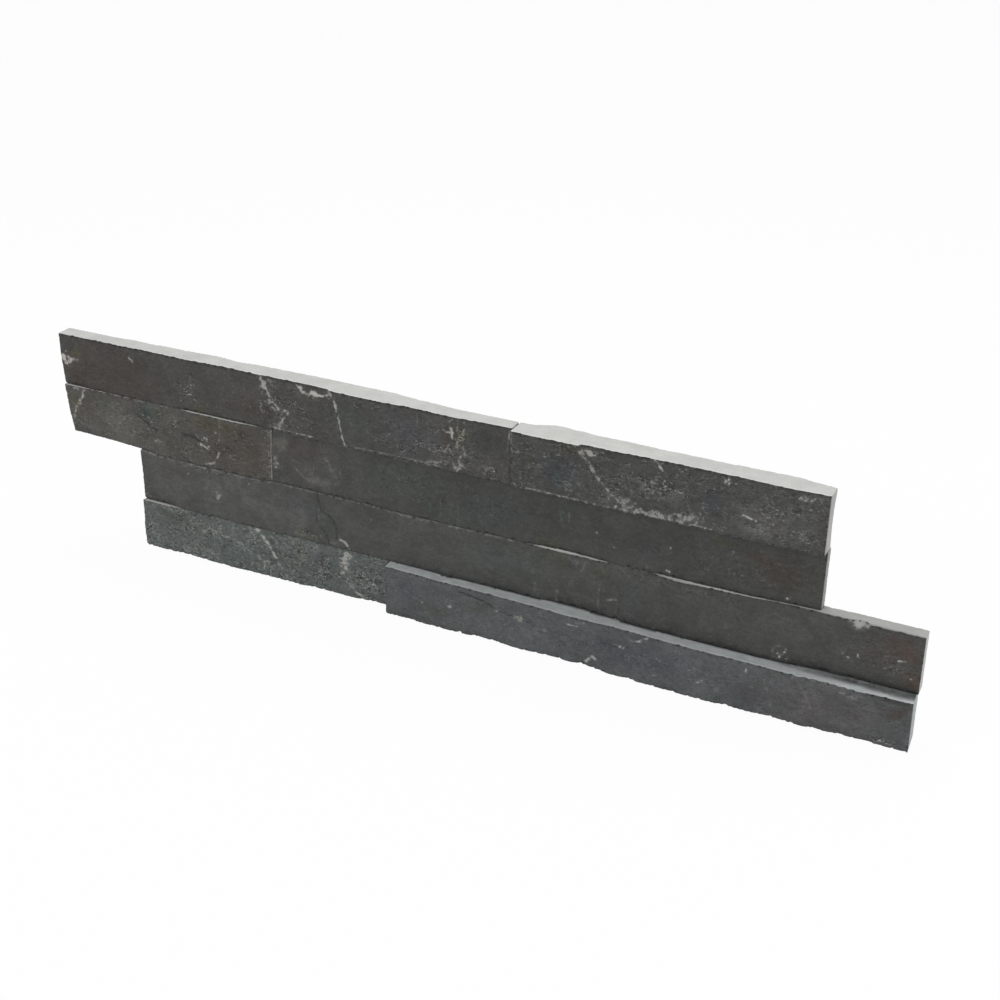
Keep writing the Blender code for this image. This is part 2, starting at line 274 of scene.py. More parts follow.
class Face:
    """A split face of a stone: a grid of places with their depth and their looks."""

    def __init__(self, solid, front, columns, rows, closing, seed):
        bottom = solid.low[2] - closing[0]
        top = solid.high[2] + closing[1]
        heights = np.linspace(bottom, top, rows + 1)
        left = solid.outline(heights, front, np.min)
        right = solid.outline(heights, front, np.max)
        shares = np.linspace(0.0, 1.0, columns + 1)[:, None]
        self.solid = solid
        self.front = front
        self.seed = seed
        self.x = left[None, :] + shares * (right - left)[None, :]
        self.z = np.repeat(heights[None, :], columns + 1, axis=0)
        self.from_top = top - self.z
        self.from_bottom = self.z - bottom
        self.from_left = self.x - left[None, :]
        self.from_right = right[None, :] - self.x
        ray_x = np.clip(self.x, left[None, :] + EDGE_INSET, right[None, :] - EDGE_INSET)
        ray_z = np.clip(self.z, solid.low[2] + EDGE_INSET, solid.high[2] - EDGE_INSET)
        sharp = solid.depths(ray_x, ray_z, front)
        smooth = blurred(sharp, SMOOTHING / GRID)
        keep = fall(STEP_KEPT - np.abs(sharp - smooth), STEP_FADE)
        self.depth = smooth + (sharp - smooth) * keep
        self.fine = self.swells(*FINE)
        self.crumb = self.swells(*CRUMB)
        self.broad = self.swells(*BROAD)
        self.pale, self.dark, self.specks, self.rough = np.zeros((4, *self.x.shape))
        self.tint = np.zeros((*self.x.shape, 3))

    def swells(self, length, height, offset, octaves):
        """Noise over the face, from about -1 to 1."""
        return fractal(self.x, self.z, length, height, self.seed + offset, octaves)

    def from_line(self, points, sway=0.0):
        """Distance of each place from a line of given points, or from one point.

        With a sway, in millimetres, the line wanders off its points.
        """
        x = self.x + sway * self.fine
        z = self.z + sway * self.crumb
        best = np.full(self.x.shape, FAR)
        for (x0, z0), (x1, z1) in zip(points, points[1:] or points):
            length = max((x1 - x0) ** 2 + (z1 - z0) ** 2, 1e-9)
            share = np.clip(((x - x0) * (x1 - x0) + (z - z0) * (z1 - z0)) / length, 0.0, 1.0)
            gap = np.hypot(x - x0 - share * (x1 - x0), z - z0 - share * (z1 - z0))
            best = np.minimum(best, gap)
        return best

    def area(self, x, z, reach, rise, fray=0.45):
        """A soft frayed patch: 1 in its middle, 0 outside its reach along x and its rise along z."""
        gap = np.hypot((self.x - x) / reach, (self.z - z) / rise)
        return fall(gap + fray * self.broad * 0.6 + fray * self.fine * 0.4, 1.0)

    def base(self, color, mottling):
        """The colour of the whole face, and how mottled it is where nothing else is said."""
        self.tint[:] = color
        self.specks[:] = mottling

    def wash(self, color, x, z, reach, rise, amount=0.7):
        """A colour cast, laid over the casts that are there."""
        share = (self.area(x, z, reach, rise, 0.6) * amount)[..., None]
        self.tint = self.tint * (1.0 - share) + np.array(color) * share

    def vein(self, points, width=1.4, strength=0.9, fray=0.9):
        """A pale vein that wanders off its line, swells and thins, and breaks up where it is faint."""
        gap = self.from_line(points, fray)
        swell = np.clip(1.0 + 0.9 * self.crumb, 0.35, 1.6)
        broken = np.clip(0.9 + (1.7 - strength) * self.crumb, 0.0, 1.0)
        self.pale = np.maximum(self.pale, strength * broken * fall(gap, width * swell))

    def cloud(self, x, z, reach, rise, strength=0.7):
        """A pale patch in ragged fragments, densest in its middle."""
        cover = self.area(x, z, reach, rise)
        cover = np.clip(1.7 * cover + 1.5 * self.crumb - 0.45, 0.0, 1.0) * np.minimum(1.0, 3.0 * cover)
        self.pale = np.maximum(self.pale, strength * cover)

    def spots(self, places, radius=1.3, strength=0.9):
        """Single pale grains."""
        for place in places:
            gap = self.from_line([place]) * (1.0 + 0.7 * self.fine) + 0.4 * self.crumb
            self.pale = np.maximum(self.pale, strength * fall(np.abs(gap), radius))

    def speckle(self, x, z, reach, rise, amount=0.8):
        """A patch that is more mottled than the rest."""
        self.specks = np.maximum(self.specks, amount * self.area(x, z, reach, rise))

    def roughen(self, x, z, reach, rise, amount):
        """A patch with a coarser relief, in millimetres. It is cut by carve, so it comes before that."""
        self.rough = np.maximum(self.rough, amount * self.area(x, z, reach, rise, 0.3))

    def crack(self, points, width=1.0, drop=0.5, strength=0.85):
        """A dark line, broken in places, that is cut in by the drop."""
        gap = self.from_line(points, 0.7)
        broken = np.clip(0.85 + 1.2 * self.crumb, 0.15, 1.0)
        # The dark of the crack is painted shade in it.
        self.dark = np.maximum(self.dark, strength * broken * fall(gap, width))
        self.depth += drop * fall(gap, width * 1.2)

    def flake(self, points, rise, fade):
        """Raise the ground left of a line, looking along it, and let it run out over a distance."""
        gap = self.from_line(points)
        side = np.zeros(self.x.shape)
        nearest = np.full(self.x.shape, FAR)
        for start, end in zip(points, points[1:]):
            part = self.from_line([start, end])
            cross = (end[0] - start[0]) * (self.z - start[1]) - (end[1] - start[1]) * (self.x - start[0])
            side = np.where(part < nearest, np.sign(cross), side)
            nearest = np.minimum(nearest, part)
        ragged = side * gap + 0.5 * self.fine
        self.depth -= rise * np.clip(ragged / 0.7, 0.0, 1.0) * fall(gap, fade)

    def chip(self, gap, x, reach, depth, width, pale=0.0, dark=0.0):
        """Break a piece off an arris. gap is the distance from that arris."""
        bite = fall(np.abs(self.x - x) + 0.8 * self.fine, width) * fall(gap, reach)
        self.depth += depth * bite
        self.pale = np.maximum(self.pale, pale * np.clip(1.6 * bite, 0.0, 1.0))
        # The dark is painted shade in the hollow of the chip.
        self.dark = np.maximum(self.dark, dark * np.clip(1.6 * bite, 0.0, 1.0))

    def carve(self, layers, grain, streaks=0.0, dash_shade=0.3, foot=0.0):
        """The relief that every split face has: terraces, a fine grain and broken arrises.

        dashes is how dark the broken line of painted shade under the top arris is, and foot how ragged the
        bottom one.
        """
        relief = terraces(self.swells(*LAYERS) * LAYER_SWELL * layers, layers, LAYER_EDGE) * 0.5
        length, height, offset, octaves = STREAKS
        lines = fractal(self.x + self.z * STREAK_LEAN, self.z - self.x * STREAK_DIP, length, height,
                        self.seed + offset, octaves)
        coarse = self.swells(*COARSE)
        relief += grain * (0.6 * self.fine + 0.5 * coarse) + streaks * lines
        relief += self.rough * (0.75 * coarse + 0.45 * self.fine)
        outward = 1.0 if self.front else -1.0
        ragged = np.clip(coarse + 0.5 * self.broad, 0.0, 0.9) * fall(self.from_bottom, FOOT_REACH)
        self.depth += outward * (relief + foot * ragged)
        self.break_arrises(outward, dash_shade)

    def break_arrises(self, outward, dash_shade):
        """Small chips along the four edges, from noise along them, and a dark line under the top one."""
        biting = self.swells(*BITES_ALONG)
        rising = self.swells(*BITES_UP)
        gaps = [(self.from_top, biting), (self.from_bottom, -biting),
                (self.from_left, rising), (self.from_right, -rising)]
        for gap, bites in gaps:
            bite = np.clip(bites - 0.06, 0.0, 0.5) * fall(gap + 0.5 * self.fine, ARRIS_REACH)
            self.depth += outward * (bite + ARRIS_WEAR * fall(gap, ARRIS_WEAR_REACH))
            # Painted shade in the hollows of the chips.
            self.dark = np.maximum(self.dark, np.clip(3.4 * bite - 0.2, 0.0, 0.75))
        # A broken line of painted shade under the top arris.
        beneath = np.abs(self.from_top - TOP_LINE_DROP)
        line = np.clip(0.45 + 1.1 * biting, 0.0, 0.7) * fall(beneath, TOP_LINE_REACH)
        self.dark = np.maximum(self.dark, dash_shade * line)

    def keep_inside(self):
        """Hold the relief inside the solid's own box."""
        low, high = self.solid.low[1] + BOX_MARGIN, self.solid.high[1] - BOX_MARGIN
        self.depth = np.clip(self.depth, low, high)


def each(brush, *marks):
    """Use one brush of a face for each mark, which holds the values that the brush takes."""
    for mark in marks:
        brush(*mark)


class Strip:
    """One stone: its two split faces and the sawn bands between them.

    tones says how bright each sawn side is: the sides of the one sawn slate differ in it as painted light
    and shade, and the ledges under a course are darker as painted shade. rim_light is the painted highlight
    that its front arris adds to that on top (below zero it darkens the rim), smear how strongly the top is
    streaked. A stain patch, partly a stain and partly painted light and shade on the top, has its middle
    along x and its reach, the same along y, and what it adds to the tone of the top.
    """

    def __init__(self, node, seed, closing, above):
        solid = Solid(node)
        columns = round((solid.high[0] - solid.low[0]) / GRID)
        rows = round((solid.high[2] - solid.low[2]) / GRID)
        self.node = node
        self.columns = columns
        self.rows = rows
        self.front = Face(solid, True, columns, rows, closing, seed)
        self.back = Face(solid, False, columns, rows, closing, seed + BACK_SEED)
        self.sawn = np.array(SAWN_TINT)
        # Painted light and shade: how bright each side of the one sawn slate is.
        self.tones = {"bottom": 0.9, "right": 0.7, "top": 0.86, "left": 0.85}
        # Painted highlight along the front arris of the top.
        self.rim_light = 0.1
        self.smear = 0.03
        # Stain patches, partly painted light and shade on the top.
        self.stains_and_shading = []
        self.above = [Solid(name) for name in above]

    def rim(self):
        """Grid places round a face, and the side that each stretch from one to the next belongs to."""
        columns, rows = self.columns, self.rows
        places = [(column, 0, "bottom") for column in range(columns)]
        places += [(columns, row, "right") for row in range(rows)]
        places += [(column, rows, "top") for column in range(columns, 0, -1)]
        places += [(0, row, "left") for row in range(rows, 0, -1)]
        return places

    def tone(self, side, x, y, share):
        """How bright the sawn stone is at a place: share runs from the front arris to the back."""
        # Painted shade where the top lies under a strip of the course above.
        if side == "top" and any(upper.covers(x, y) for upper in self.above):
            return COVERED_SHADE_TONE
        value = self.tones[side]
        if side == "top":
            spot = Vector((x / SMEAR_LENGTH, y / SMEAR_WIDTH, SMEAR_SEED))
            value += self.smear * noise.fractal(spot, 1.0, 2.0, 4)
            # The painted highlight along the front arris of the top.
            if share < RIM_SHARE:
                value += self.rim_light
            # Stain patches, partly painted light and shade, laid on the top.
            for place, reach, middle, spread, amount in self.stains_and_shading:
                gap = math.hypot((x - place) / reach, (y - middle) / spread)
                value += amount * max(0.0, 1.0 - gap * gap)
        elif side == "right" and share < END_RIM_SHARE:
            value += END_RIM_LIGHT
        return max(DARKEST_TONE, value)

    def ring_tones(self, places, ring, share):
        """How bright the sawn stone is at each point of a ring."""
        return np.array([self.tone(place[2], spot[0], spot[1], share) for place, spot in zip(places, ring)])

    def lay_bands(self):
        """All points of the stone, the rings that its sawn bands run between, and how bright each point is.

        A ring holds the numbers of its points. The first lies round the front and the last round the back.
        """
        front, back = [np.stack([face.x, face.depth, face.z], axis=-1).reshape(-1, 3)
                       for face in (self.front, self.back)]
        places = self.rim()
        near = np.array([column * (self.rows + 1) + row for column, row, _ in places])
        far = near + len(front)
        points = [front, back]
        rings = [near]
        tones = [np.ones(2 * len(front))]
        tones[0][near] = self.ring_tones(places, front[near], 0.0)
        tones[0][far] = self.ring_tones(places, back[near], 1.0)
        for number, share in enumerate(BAND_SHARES[1:-1]):
            ring = front[near] * (1.0 - share) + back[near] * share
            points.append(ring)
            rings.append(2 * len(front) + number * len(places) + np.arange(len(places)))
            tones.append(self.ring_tones(places, ring, share))
        rings.append(far)
        return np.concatenate(points), rings, np.concatenate(tones)

    def store_looks(self, mesh, tones):
        """Store the looks of both faces, and of the sawn stone between them, at the points of the mesh."""
        faces = (self.front, self.back)
        between = len(tones) - 2 * self.front.x.size
        for name in ("pale", "dark", "specks"):
            values = [getattr(face, name).ravel() for face in faces] + [np.zeros(between)]
            add_attribute(mesh, name, "FLOAT", "value", np.concatenate(values))
        tint = [face.tint.reshape(-1, 3) for face in faces] + [np.zeros((between, 3))]
        add_colors(mesh, "tint", np.concatenate(tint))
        add_colors(mesh, "sawn", tones[:, None] * self.sawn)

    def build(self, materials):
        """Join the faces by the sawn bands, and let the mesh take the place of the solid."""
        for face in (self.front, self.back):
            face.keep_inside()
        points, rings, tones = self.lay_bands()
        outward = grid_quads(np.arange(self.front.x.size).reshape(self.front.x.shape))
        quads = [outward, outward[:, ::-1] + self.front.x.size]
        quads += [band_quads(inner, outer) for inner, outer in zip(rings, rings[1:])]
        mesh = new_mesh(self.node + "_riven", points, np.concatenate(quads))
        is_sawn = np.arange(len(mesh.polygons)) >= 2 * len(outward)
        mesh.polygons.foreach_set("material_index", is_sawn.astype(np.int32))
        self.store_looks(mesh, tones)
        for material in materials:
            mesh.materials.append(material)
        mesh.shade_smooth()
        mesh.set_sharp_from_angle(angle=math.radians(SHARP_ANGLE))
        stone = add_object(self.node + "_riven", mesh)
        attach(stone, BODY)
        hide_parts(self.node)


def grid_quads(grid):
    """The quads of a grid of point numbers, turned towards the front."""
    corners = (grid[:-1, :-1], grid[1:, :-1], grid[1:, 1:], grid[:-1, 1:])
    return np.stack([corner.ravel() for corner in corners], axis=-1)


def band_quads(inner, outer):
    """The quads between two rings of point numbers."""
    return np.stack([inner, outer, np.roll(outer, -1), np.roll(inner, -1)], axis=-1)


def add_object(name, data):
    """Put a new object with that data into the scene."""
    thing = bpy.data.objects.new(name, data)
    bpy.context.scene.collection.objects.link(thing)
    return thing


def new_mesh(name, points, faces):
    """A mesh from points in panel millimetres and quads of point numbers."""
    mesh = bpy.data.meshes.new(name)
    placed = points.copy()
    placed[:, 0] += PANEL_LEFT
    mesh.from_pydata((placed * MM).tolist(), [], faces.tolist())
    mesh.update()
    return mesh


def add_attribute(mesh, name, kind, field, values):
    """Store a number or a colour for each point of a mesh."""
    layer = mesh.attributes.new(name, kind, "POINT")
    layer.data.foreach_set(field, values.astype(np.float32))


def add_colors(mesh, name, colors):
    """Store a colour for each point of a mesh, from rows of red, green and blue."""
    colors = np.concatenate([colors, np.ones((len(colors), 1))], axis=1)
    add_attribute(mesh, name, "FLOAT_COLOR", "color", colors.ravel())


def add_node(tree, kind, inputs=None, **settings):
    """Add a node, make its settings, and set or link its inputs."""
    node = tree.nodes.new(kind)
    for name, value in settings.items():
        setattr(node, name, value)
    for name, value in (inputs or {}).items():
        set_socket(tree, node.inputs[name], value)
    return node


def set_socket(tree, socket, value):
    """Link a socket to another one, or give it a value."""
    if isinstance(value, bpy.types.NodeSocket):
        tree.links.new(value, socket)
    else:
        socket.default_value = value


def attribute(tree, name, output="Fac"):
    """What the mesh stores at its points under that name."""
    return add_node(tree, "ShaderNodeAttribute", attribute_name=name).outputs[output]


def calculate(tree, operation, first, second, clamp=False):
    node = add_node(tree, "ShaderNodeMath", {0: first, 1: second}, operation=operation, use_clamp=clamp)
    return node.outputs[0]


def remap(tree, value, low, high, new_low=0.0, new_high=1.0):
    """Map a range to another with a smooth curve, and hold it at the ends."""
    inputs = {"Value": value, "From Min": low, "From Max": high, "To Min": new_low, "To Max": new_high}
    return add_node(tree, "ShaderNodeMapRange", inputs, interpolation_type="SMOOTHSTEP").outputs["Result"]


def noise_at(tree, place, scale, detail=3.0, roughness=0.6, distortion=0.0):
    inputs = {"Vector": place, "Scale": scale, "Detail": detail, "Roughness": roughness,
              "Distortion": distortion}
    return add_node(tree, "ShaderNodeTexNoise", inputs).outputs["Fac"]


def stretched(tree, place, scale, turn=(0.0, 0.0, 0.0)):
    """Places turned and scaled, so that the noise on them runs in one direction."""
    inputs = {"Vector": place, "Rotation": turn, "Scale": scale}
    return add_node(tree, "ShaderNodeMapping", inputs).outputs["Vector"]


def mix_colors(tree, share, first, second, blend="MIX"):
    node = add_node(tree, "ShaderNodeMix", data_type="RGBA", blend_type=blend)
    for name, value in (("Factor", share), ("A", first), ("B", second)):
        set_socket(tree, [item for item in node.inputs if item.name == name and item.enabled][0], value)
    return [item for item in node.outputs if item.enabled][0]


def grey(tree, value):
    """A grey colour from a number."""
    return add_node(tree, "ShaderNodeCombineColor", {"Red": value, "Green": value, "Blue": value}).outputs[0]


def new_material(name):
    """A material with its node tree, its shader and the places on the object."""
    material = bpy.data.materials.new(name)
    material.use_nodes = True
    tree = material.node_tree
    shader = tree.nodes["Principled BSDF"]
    place = add_node(tree, "ShaderNodeTexCoord").outputs["Object"]
    return material, tree, shader, place


def set_shader(tree, shader, color, relief, strength, distance, roughness, specular):
    """The colour and the gloss of a material, and the bump that its relief gives, in metres."""
    bump = add_node(tree, "ShaderNodeBump", {"Height": relief, "Strength": strength, "Distance": distance})
    inputs = {"Base Color": color, "Roughness": roughness, "Specular IOR Level": specular,
              "Normal": bump.outputs["Normal"]}
    for name, value in inputs.items():
        set_socket(tree, shader.inputs[name], value)


def warped(tree, place, scale, push):
    """Places pushed about by noise, so that what is drawn on them gets ragged edges."""
    sway = add_node(tree, "ShaderNodeTexNoise", {"Vector": place, "Scale": scale, "Detail": 3.0})
    sway = add_node(tree, "ShaderNodeVectorMath", {0: sway.outputs["Color"], 1: (0.5, 0.5, 0.5)},
                    operation="SUBTRACT").outputs[0]
    sway = add_node(tree, "ShaderNodeVectorMath", {0: sway, "Scale": push}, operation="SCALE").outputs[0]
    return add_node(tree, "ShaderNodeVectorMath", {0: place, 1: sway}, operation="ADD").outputs[0]


def shards(tree, place, scale):
    """Angular fragments, each with a random number."""
    cells = add_node(tree, "ShaderNodeTexVoronoi", {"Vector": place, "Scale": scale})
    return add_node(tree, "ShaderNodeSeparateColor", {"Color": cells.outputs["Color"]}).outputs["Red"]


def scaled(tree, value, by, add=0.0):
    """The value times a number, and another one added."""
    inputs = {0: value, 1: by, 2: add}
    return add_node(tree, "ShaderNodeMath", inputs, operation="MULTIPLY_ADD").outputs[0]


def swung(tree, value, by, swing):
    """A value, made larger or smaller by a number from 0 to 1, as far as the swing says."""
    change = calculate(tree, "MULTIPLY", scaled(tree, by, 1.0, -0.5), swing)
    return calculate(tree, "MULTIPLY", value, scaled(tree, change, 1.0, 1.0))


def slate_value(tree, place, lineation, grain, mottling):
    """How light the split slate is, around 1: broad patches, shards, streaks and a fine grain."""
    patches = noise_at(tree, place, 48.0, 6.0, 0.6, 0.5)
    value = remap(tree, patches, 0.30, 0.70, 0.85, 1.15)
    coarse = shards(tree, warped(tree, lineation, 240.0, 0.006), 230.0)
    finer = shards(tree, warped(tree, lineation, 600.0, 0.003), 620.0)
    crumbs = noise_at(tree, warped(tree, lineation, 420.0, 0.004), 760.0, 4.0, 0.7)
    streak = noise_at(tree, lineation, 210.0, 4.0, 0.6)
    swings = ((coarse, 0.40, 0.07), (finer, 0.95, 0.10), (crumbs, 3.6, 0.70), (streak, 0.80, 0.55),
              (grain, 1.5, 0.70))
    for by, with_mottling, at_least in swings:
        value = swung(tree, value, by, scaled(tree, mottling, with_mottling, at_least))
    relief = scaled(tree, coarse, 0.3)
    for part in (scaled(tree, finer, 0.25), streak, crumbs, grain):
        relief = calculate(tree, "ADD", relief, part)
    return value, relief


def mineral_cover(tree, place, lineation, mottling):
    """Where pale mineral covers the slate: a thin veil where it is painted, with denser crumbs in it."""
    painted = attribute(tree, "pale")
    crumbs = noise_at(tree, warped(tree, place, 500.0, 0.002), 640.0, 5.0, 0.7)
    edge = calculate(tree, "ADD", painted, scaled(tree, crumbs, 1.9, -0.95))
    dense = remap(tree, edge, 0.30, 0.72)
    strength = calculate(tree, "POWER", painted, 1.25)
    dense = calculate(tree, "MULTIPLY", dense, scaled(tree, strength, 0.88))
    body = calculate(tree, "MAXIMUM", dense, scaled(tree, strength, 0.22))
    flecks = noise_at(tree, lineation, 450.0, 5.0, 0.7)
    flecks = calculate(tree, "ADD", flecks, scaled(tree, mottling, 0.10))
    flecks = remap(tree, flecks, 0.61, 0.71)
    flecks = calculate(tree, "MULTIPLY", flecks, scaled(tree, mottling, 0.48, 0.01))
    return calculate(tree, "MAXIMUM", body, flecks, clamp=True)


def riven_slate():
    """Split slate: casts from the tint, mottled and grained, with pale mineral, specks and crevices."""
    material, tree, shader, place = new_material("riven_slate")
    lineation = stretched(tree, place, (1.0, 1.0, 1.7), (0.0, math.radians(14), 0.0))
    scattered = stretched(tree, place, (1.0, 1.0, 1.5), (0.3, math.radians(14), 0.0))
    clusters = remap(tree, noise_at(tree, scattered, 95.0, 4.0, 0.62), 0.36, 0.64, 0.3, 1.6)
    mottling = calculate(tree, "MULTIPLY", attribute(tree, "specks"), clusters)
    grain = noise_at(tree, place, 1100.0, 3.0, 0.65)
    value, relief = slate_value(tree, place, lineation, grain, mottling)
    stone = mix_colors(tree, 1.0, attribute(tree, "tint", "Color"), grey(tree, value), "MULTIPLY")
    pale = mineral_cover(tree, place, lineation, mottling)
    stone = mix_colors(tree, pale, stone, MINERAL)
    pits = noise_at(tree, scattered, 400.0, 5.0, 0.7)
    pits = remap(tree, calculate(tree, "ADD", pits, scaled(tree, mottling, 0.10)), 0.60, 0.70)
    pits = calculate(tree, "MULTIPLY", pits, scaled(tree, mottling, 0.5, 0.14))
    # The dark attribute, painted shade in cracks and chips, and the pits are mixed to the crevice shade
    # colour.
    dark = calculate(tree, "MAXIMUM", attribute(tree, "dark"), pits, clamp=True)
    stone = mix_colors(tree, dark, stone, CREVICE_SHADE)
    roughness = remap(tree, pale, 0.0, 1.0, 0.62, 0.85)
    set_shader(tree, shader, stone, relief, strength=0.7, distance=0.0003, roughness=roughness,
               specular=0.25)
    return material


def sawn_slate():
    """Sawn slate: pale with stone dust, with faint saw marks along the bed or up the end."""
    material, tree, shader, place = new_material("sawn_slate")
    along_bed = noise_at(tree, stretched(tree, place, (5.0, 1300.0, 60.0)), 1.0, 3.0, 0.6)
    up_end = noise_at(tree, stretched(tree, place, (60.0, 1300.0, 5.0)), 1.0, 3.0, 0.6)
    normal = add_node(tree, "ShaderNodeNewGeometry").outputs["Normal"]
    facing = add_node(tree, "ShaderNodeSeparateXYZ", {"Vector": normal}).outputs["X"]
    is_end = remap(tree, calculate(tree, "ABSOLUTE", facing, 0.0), 0.5, 0.8)
    marks = mix_colors(tree, is_end, grey(tree, along_bed), grey(tree, up_end))
    mottle = noise_at(tree, place, 70.0, 5.0, 0.6)
    grain = noise_at(tree, place, 1500.0, 3.0, 0.65)
    value = calculate(tree, "MULTIPLY", remap(tree, mottle, 0.3, 0.7, 0.93, 1.05),
                      remap(tree, grain, 0.3, 0.7, 0.92, 1.06))
    value = calculate(tree, "MULTIPLY", value, remap(tree, marks, 0.3, 0.7, 0.96, 1.03))
    stone = mix_colors(tree, 1.0, attribute(tree, "sawn", "Color"), grey(tree, value), "MULTIPLY")
    relief = calculate(tree, "ADD", marks, calculate(tree, "MULTIPLY", grain, 0.6))
    set_shader(tree, shader, stone, relief, strength=0.4, distance=0.0001, roughness=0.85, specular=0.2)
    return material


def cured_glue():
    """Stone glue: pale grey, slightly glossy, with dust in it."""
    material, tree, shader, place = new_material("cured_glue")
    dust = noise_at(tree, place, 800.0, 4.0, 0.6)
    color = mix_colors(tree, remap(tree, dust, 0.3, 0.7), GLUE_DARK, GLUE_PALE)
    set_shader(tree, shader, color, dust, strength=0.3, distance=0.0001, roughness=0.55, specular=0.5)
    return material


def dress_top_left(strip):
    """Brown on the left and grey on the right, with white veins by both ends of its middle."""
    face = strip.front
    face.base(linear(67, 66, 63), 0.16)
    each(face.wash, (linear(55, 52, 49), 52, 128, 58, 36, 0.62), (linear(75, 77, 78), 290, 128, 66, 30, 0.5),
         (BROWN, 40, 120, 62, 40, 0.75), (UMBER, 12, 116, 20, 9, 0.7), (OLIVE, 13, 136, 6, 5, 0.8),
         (BROWN, 155, 122, 26, 18, 0.55), (OLIVE, 117, 113, 6, 4, 0.8), (GREEN, 238, 128, 26, 24, 0.5),
         (PURPLE, 272, 130, 22, 22, 0.6), (BROWN, 306, 130, 8, 20, 0.75), (OLIVE, 315, 134, 6, 16, 0.7),
         (DARK_SLATE, 334, 136, 16, 15, 0.8))
    each(face.vein, ([(1.5, 132), (5, 129), (11, 130)], 1.6, 0.8, 1.0),
         ([(25, 130), (31, 123.5), (38, 116)], 0.9, 0.22), ([(22, 115), (29, 116.8)], 0.8, 0.28),
         ([(165, 147), (167, 143), (170.5, 138), (173, 133), (174, 128)], 2.4, 0.78, 1.2),
         ([(172, 135), (175, 130), (180, 126), (185.5, 126.5)], 1.7, 0.85, 0.7),
         ([(173, 128), (177, 125), (183, 126.5), (187, 126), (185, 122), (181, 118),
           (176, 112)], 2.2, 0.68, 1.3), ([(188, 146), (193, 142), (197, 138)], 1.2, 0.3),
         ([(219, 147), (221.5, 143), (224, 139), (225, 134), (226, 129), (227, 123), (228, 117),
           (230, 111)], 1.9, 0.82, 0.9),
         ([(194, 146), (198, 142.5), (204, 141), (212, 141.5), (219, 144), (222, 142)], 1.7, 0.85, 0.8),
         ([(224, 124), (225, 117)], 2.2, 0.25), ([(190.5, 131), (190, 115)], 0.8, 0.25, 0.3),
         ([(269, 122), (269, 138)], 1.0, 0.25, 0.4), ([(284, 138), (284, 144.5)], 0.9, 0.5, 0.3),
         ([(300, 113.8), (296, 114), (291, 113.2)], 1.4, 0.6),
         ([(308, 140.5), (309.2, 137), (308.6, 133)], 1.5, 0.9, 0.8),
         ([(302.4, 138), (304.6, 136.4), (308, 137)], 1.3, 0.7, 0.8),
         ([(309, 133), (306, 127), (303, 121)], 1.3, 0.55),
         ([(312.5, 146), (313, 136), (312, 126)], 1.5, 0.6, 1.2),
         ([(317.5, 146), (316, 134), (318, 122)], 1.5, 0.6, 1.2),
         ([(316, 123), (313, 119), (315, 115), (312.5, 111)], 1.5, 0.7, 0.9),
         ([(348.2, 147), (347.6, 140), (346.8, 132)], 1.0, 0.7, 0.3),
         # The last two veins: a pale line along the joint, partly pale sawn stone, partly painted highlight.
         ([(171, 111.9), (188, 111.6), (205, 111.8)], 1.2, 0.7, 0.5),
         ([(236, 111.6), (262, 111.8), (301, 111.6)], 1.1, 0.6, 0.5))
    each(face.cloud, (4, 130.5, 9, 9, 1.0), (12, 129.5, 7, 4, 0.5), (169.5, 141, 6, 7, 0.72),
         (174, 143, 6, 5, 0.45), (179, 114, 8, 5, 0.5), (197.5, 143, 5, 4.0, 0.85),
         (208, 141.5, 10, 5.0, 0.95), (221, 143, 5, 6, 0.7), (313, 115, 9, 5, 0.55))
    each(face.speckle, (107, 125, 24, 16, 0.6), (100, 118, 16, 8, 0.65), (185, 128, 60, 30, 0.62),
         (290, 124, 70, 26, 0.62), (205, 118, 18, 10, 0.4), (315, 134, 5, 14, 0.8), (318, 113, 12, 5, 0.9),
         (335, 116, 18, 8, 0.6), (250, 143, 40, 6, 0.45), (60, 146, 60, 3, 0.5))
    each(face.spots, ([(59.6, 140.2), (60.6, 138.8), (61.8, 137.6)], 1.6, 0.9),
         ([(104, 131), (107.5, 130), (116, 131), (113.5, 128), (95, 127)], 1.0, 0.35),
         ([(129, 120), (129, 117.5), (143, 129.5), (152, 136.8), (153, 135.5), (144, 131)], 1.2, 0.5),
         ([(202, 120), (205, 122), (211, 121.5), (199, 123.5)], 1.4, 0.4),
         ([(300.5, 115.2), (304, 114)], 1.5, 0.8), ([(307.6, 144.4), (309.4, 146)], 1.5, 0.7),
         ([(330, 121.5), (336, 122), (344, 122.5), (346.5, 121), (328, 116.5), (341, 115)], 1.5, 0.45))
    each(face.flake, ([(319, 147), (318.4, 124), (349, 123.5)], 0.5, 14),
         ([(165, 110), (174, 128), (166, 147)], 0.5, 18))
    for place in (12, 31, 36, 44, 57, 69, 75, 88, 98, 114, 122, 135, 143, 158, 172, 186, 230, 263, 274,
                  291, 325):
        face.chip(face.from_top, place, 1.5, 0.7, 2.2, dark=0.75)
    face.carve(0.30, 0.05, 0.05, dash_shade=1.0)


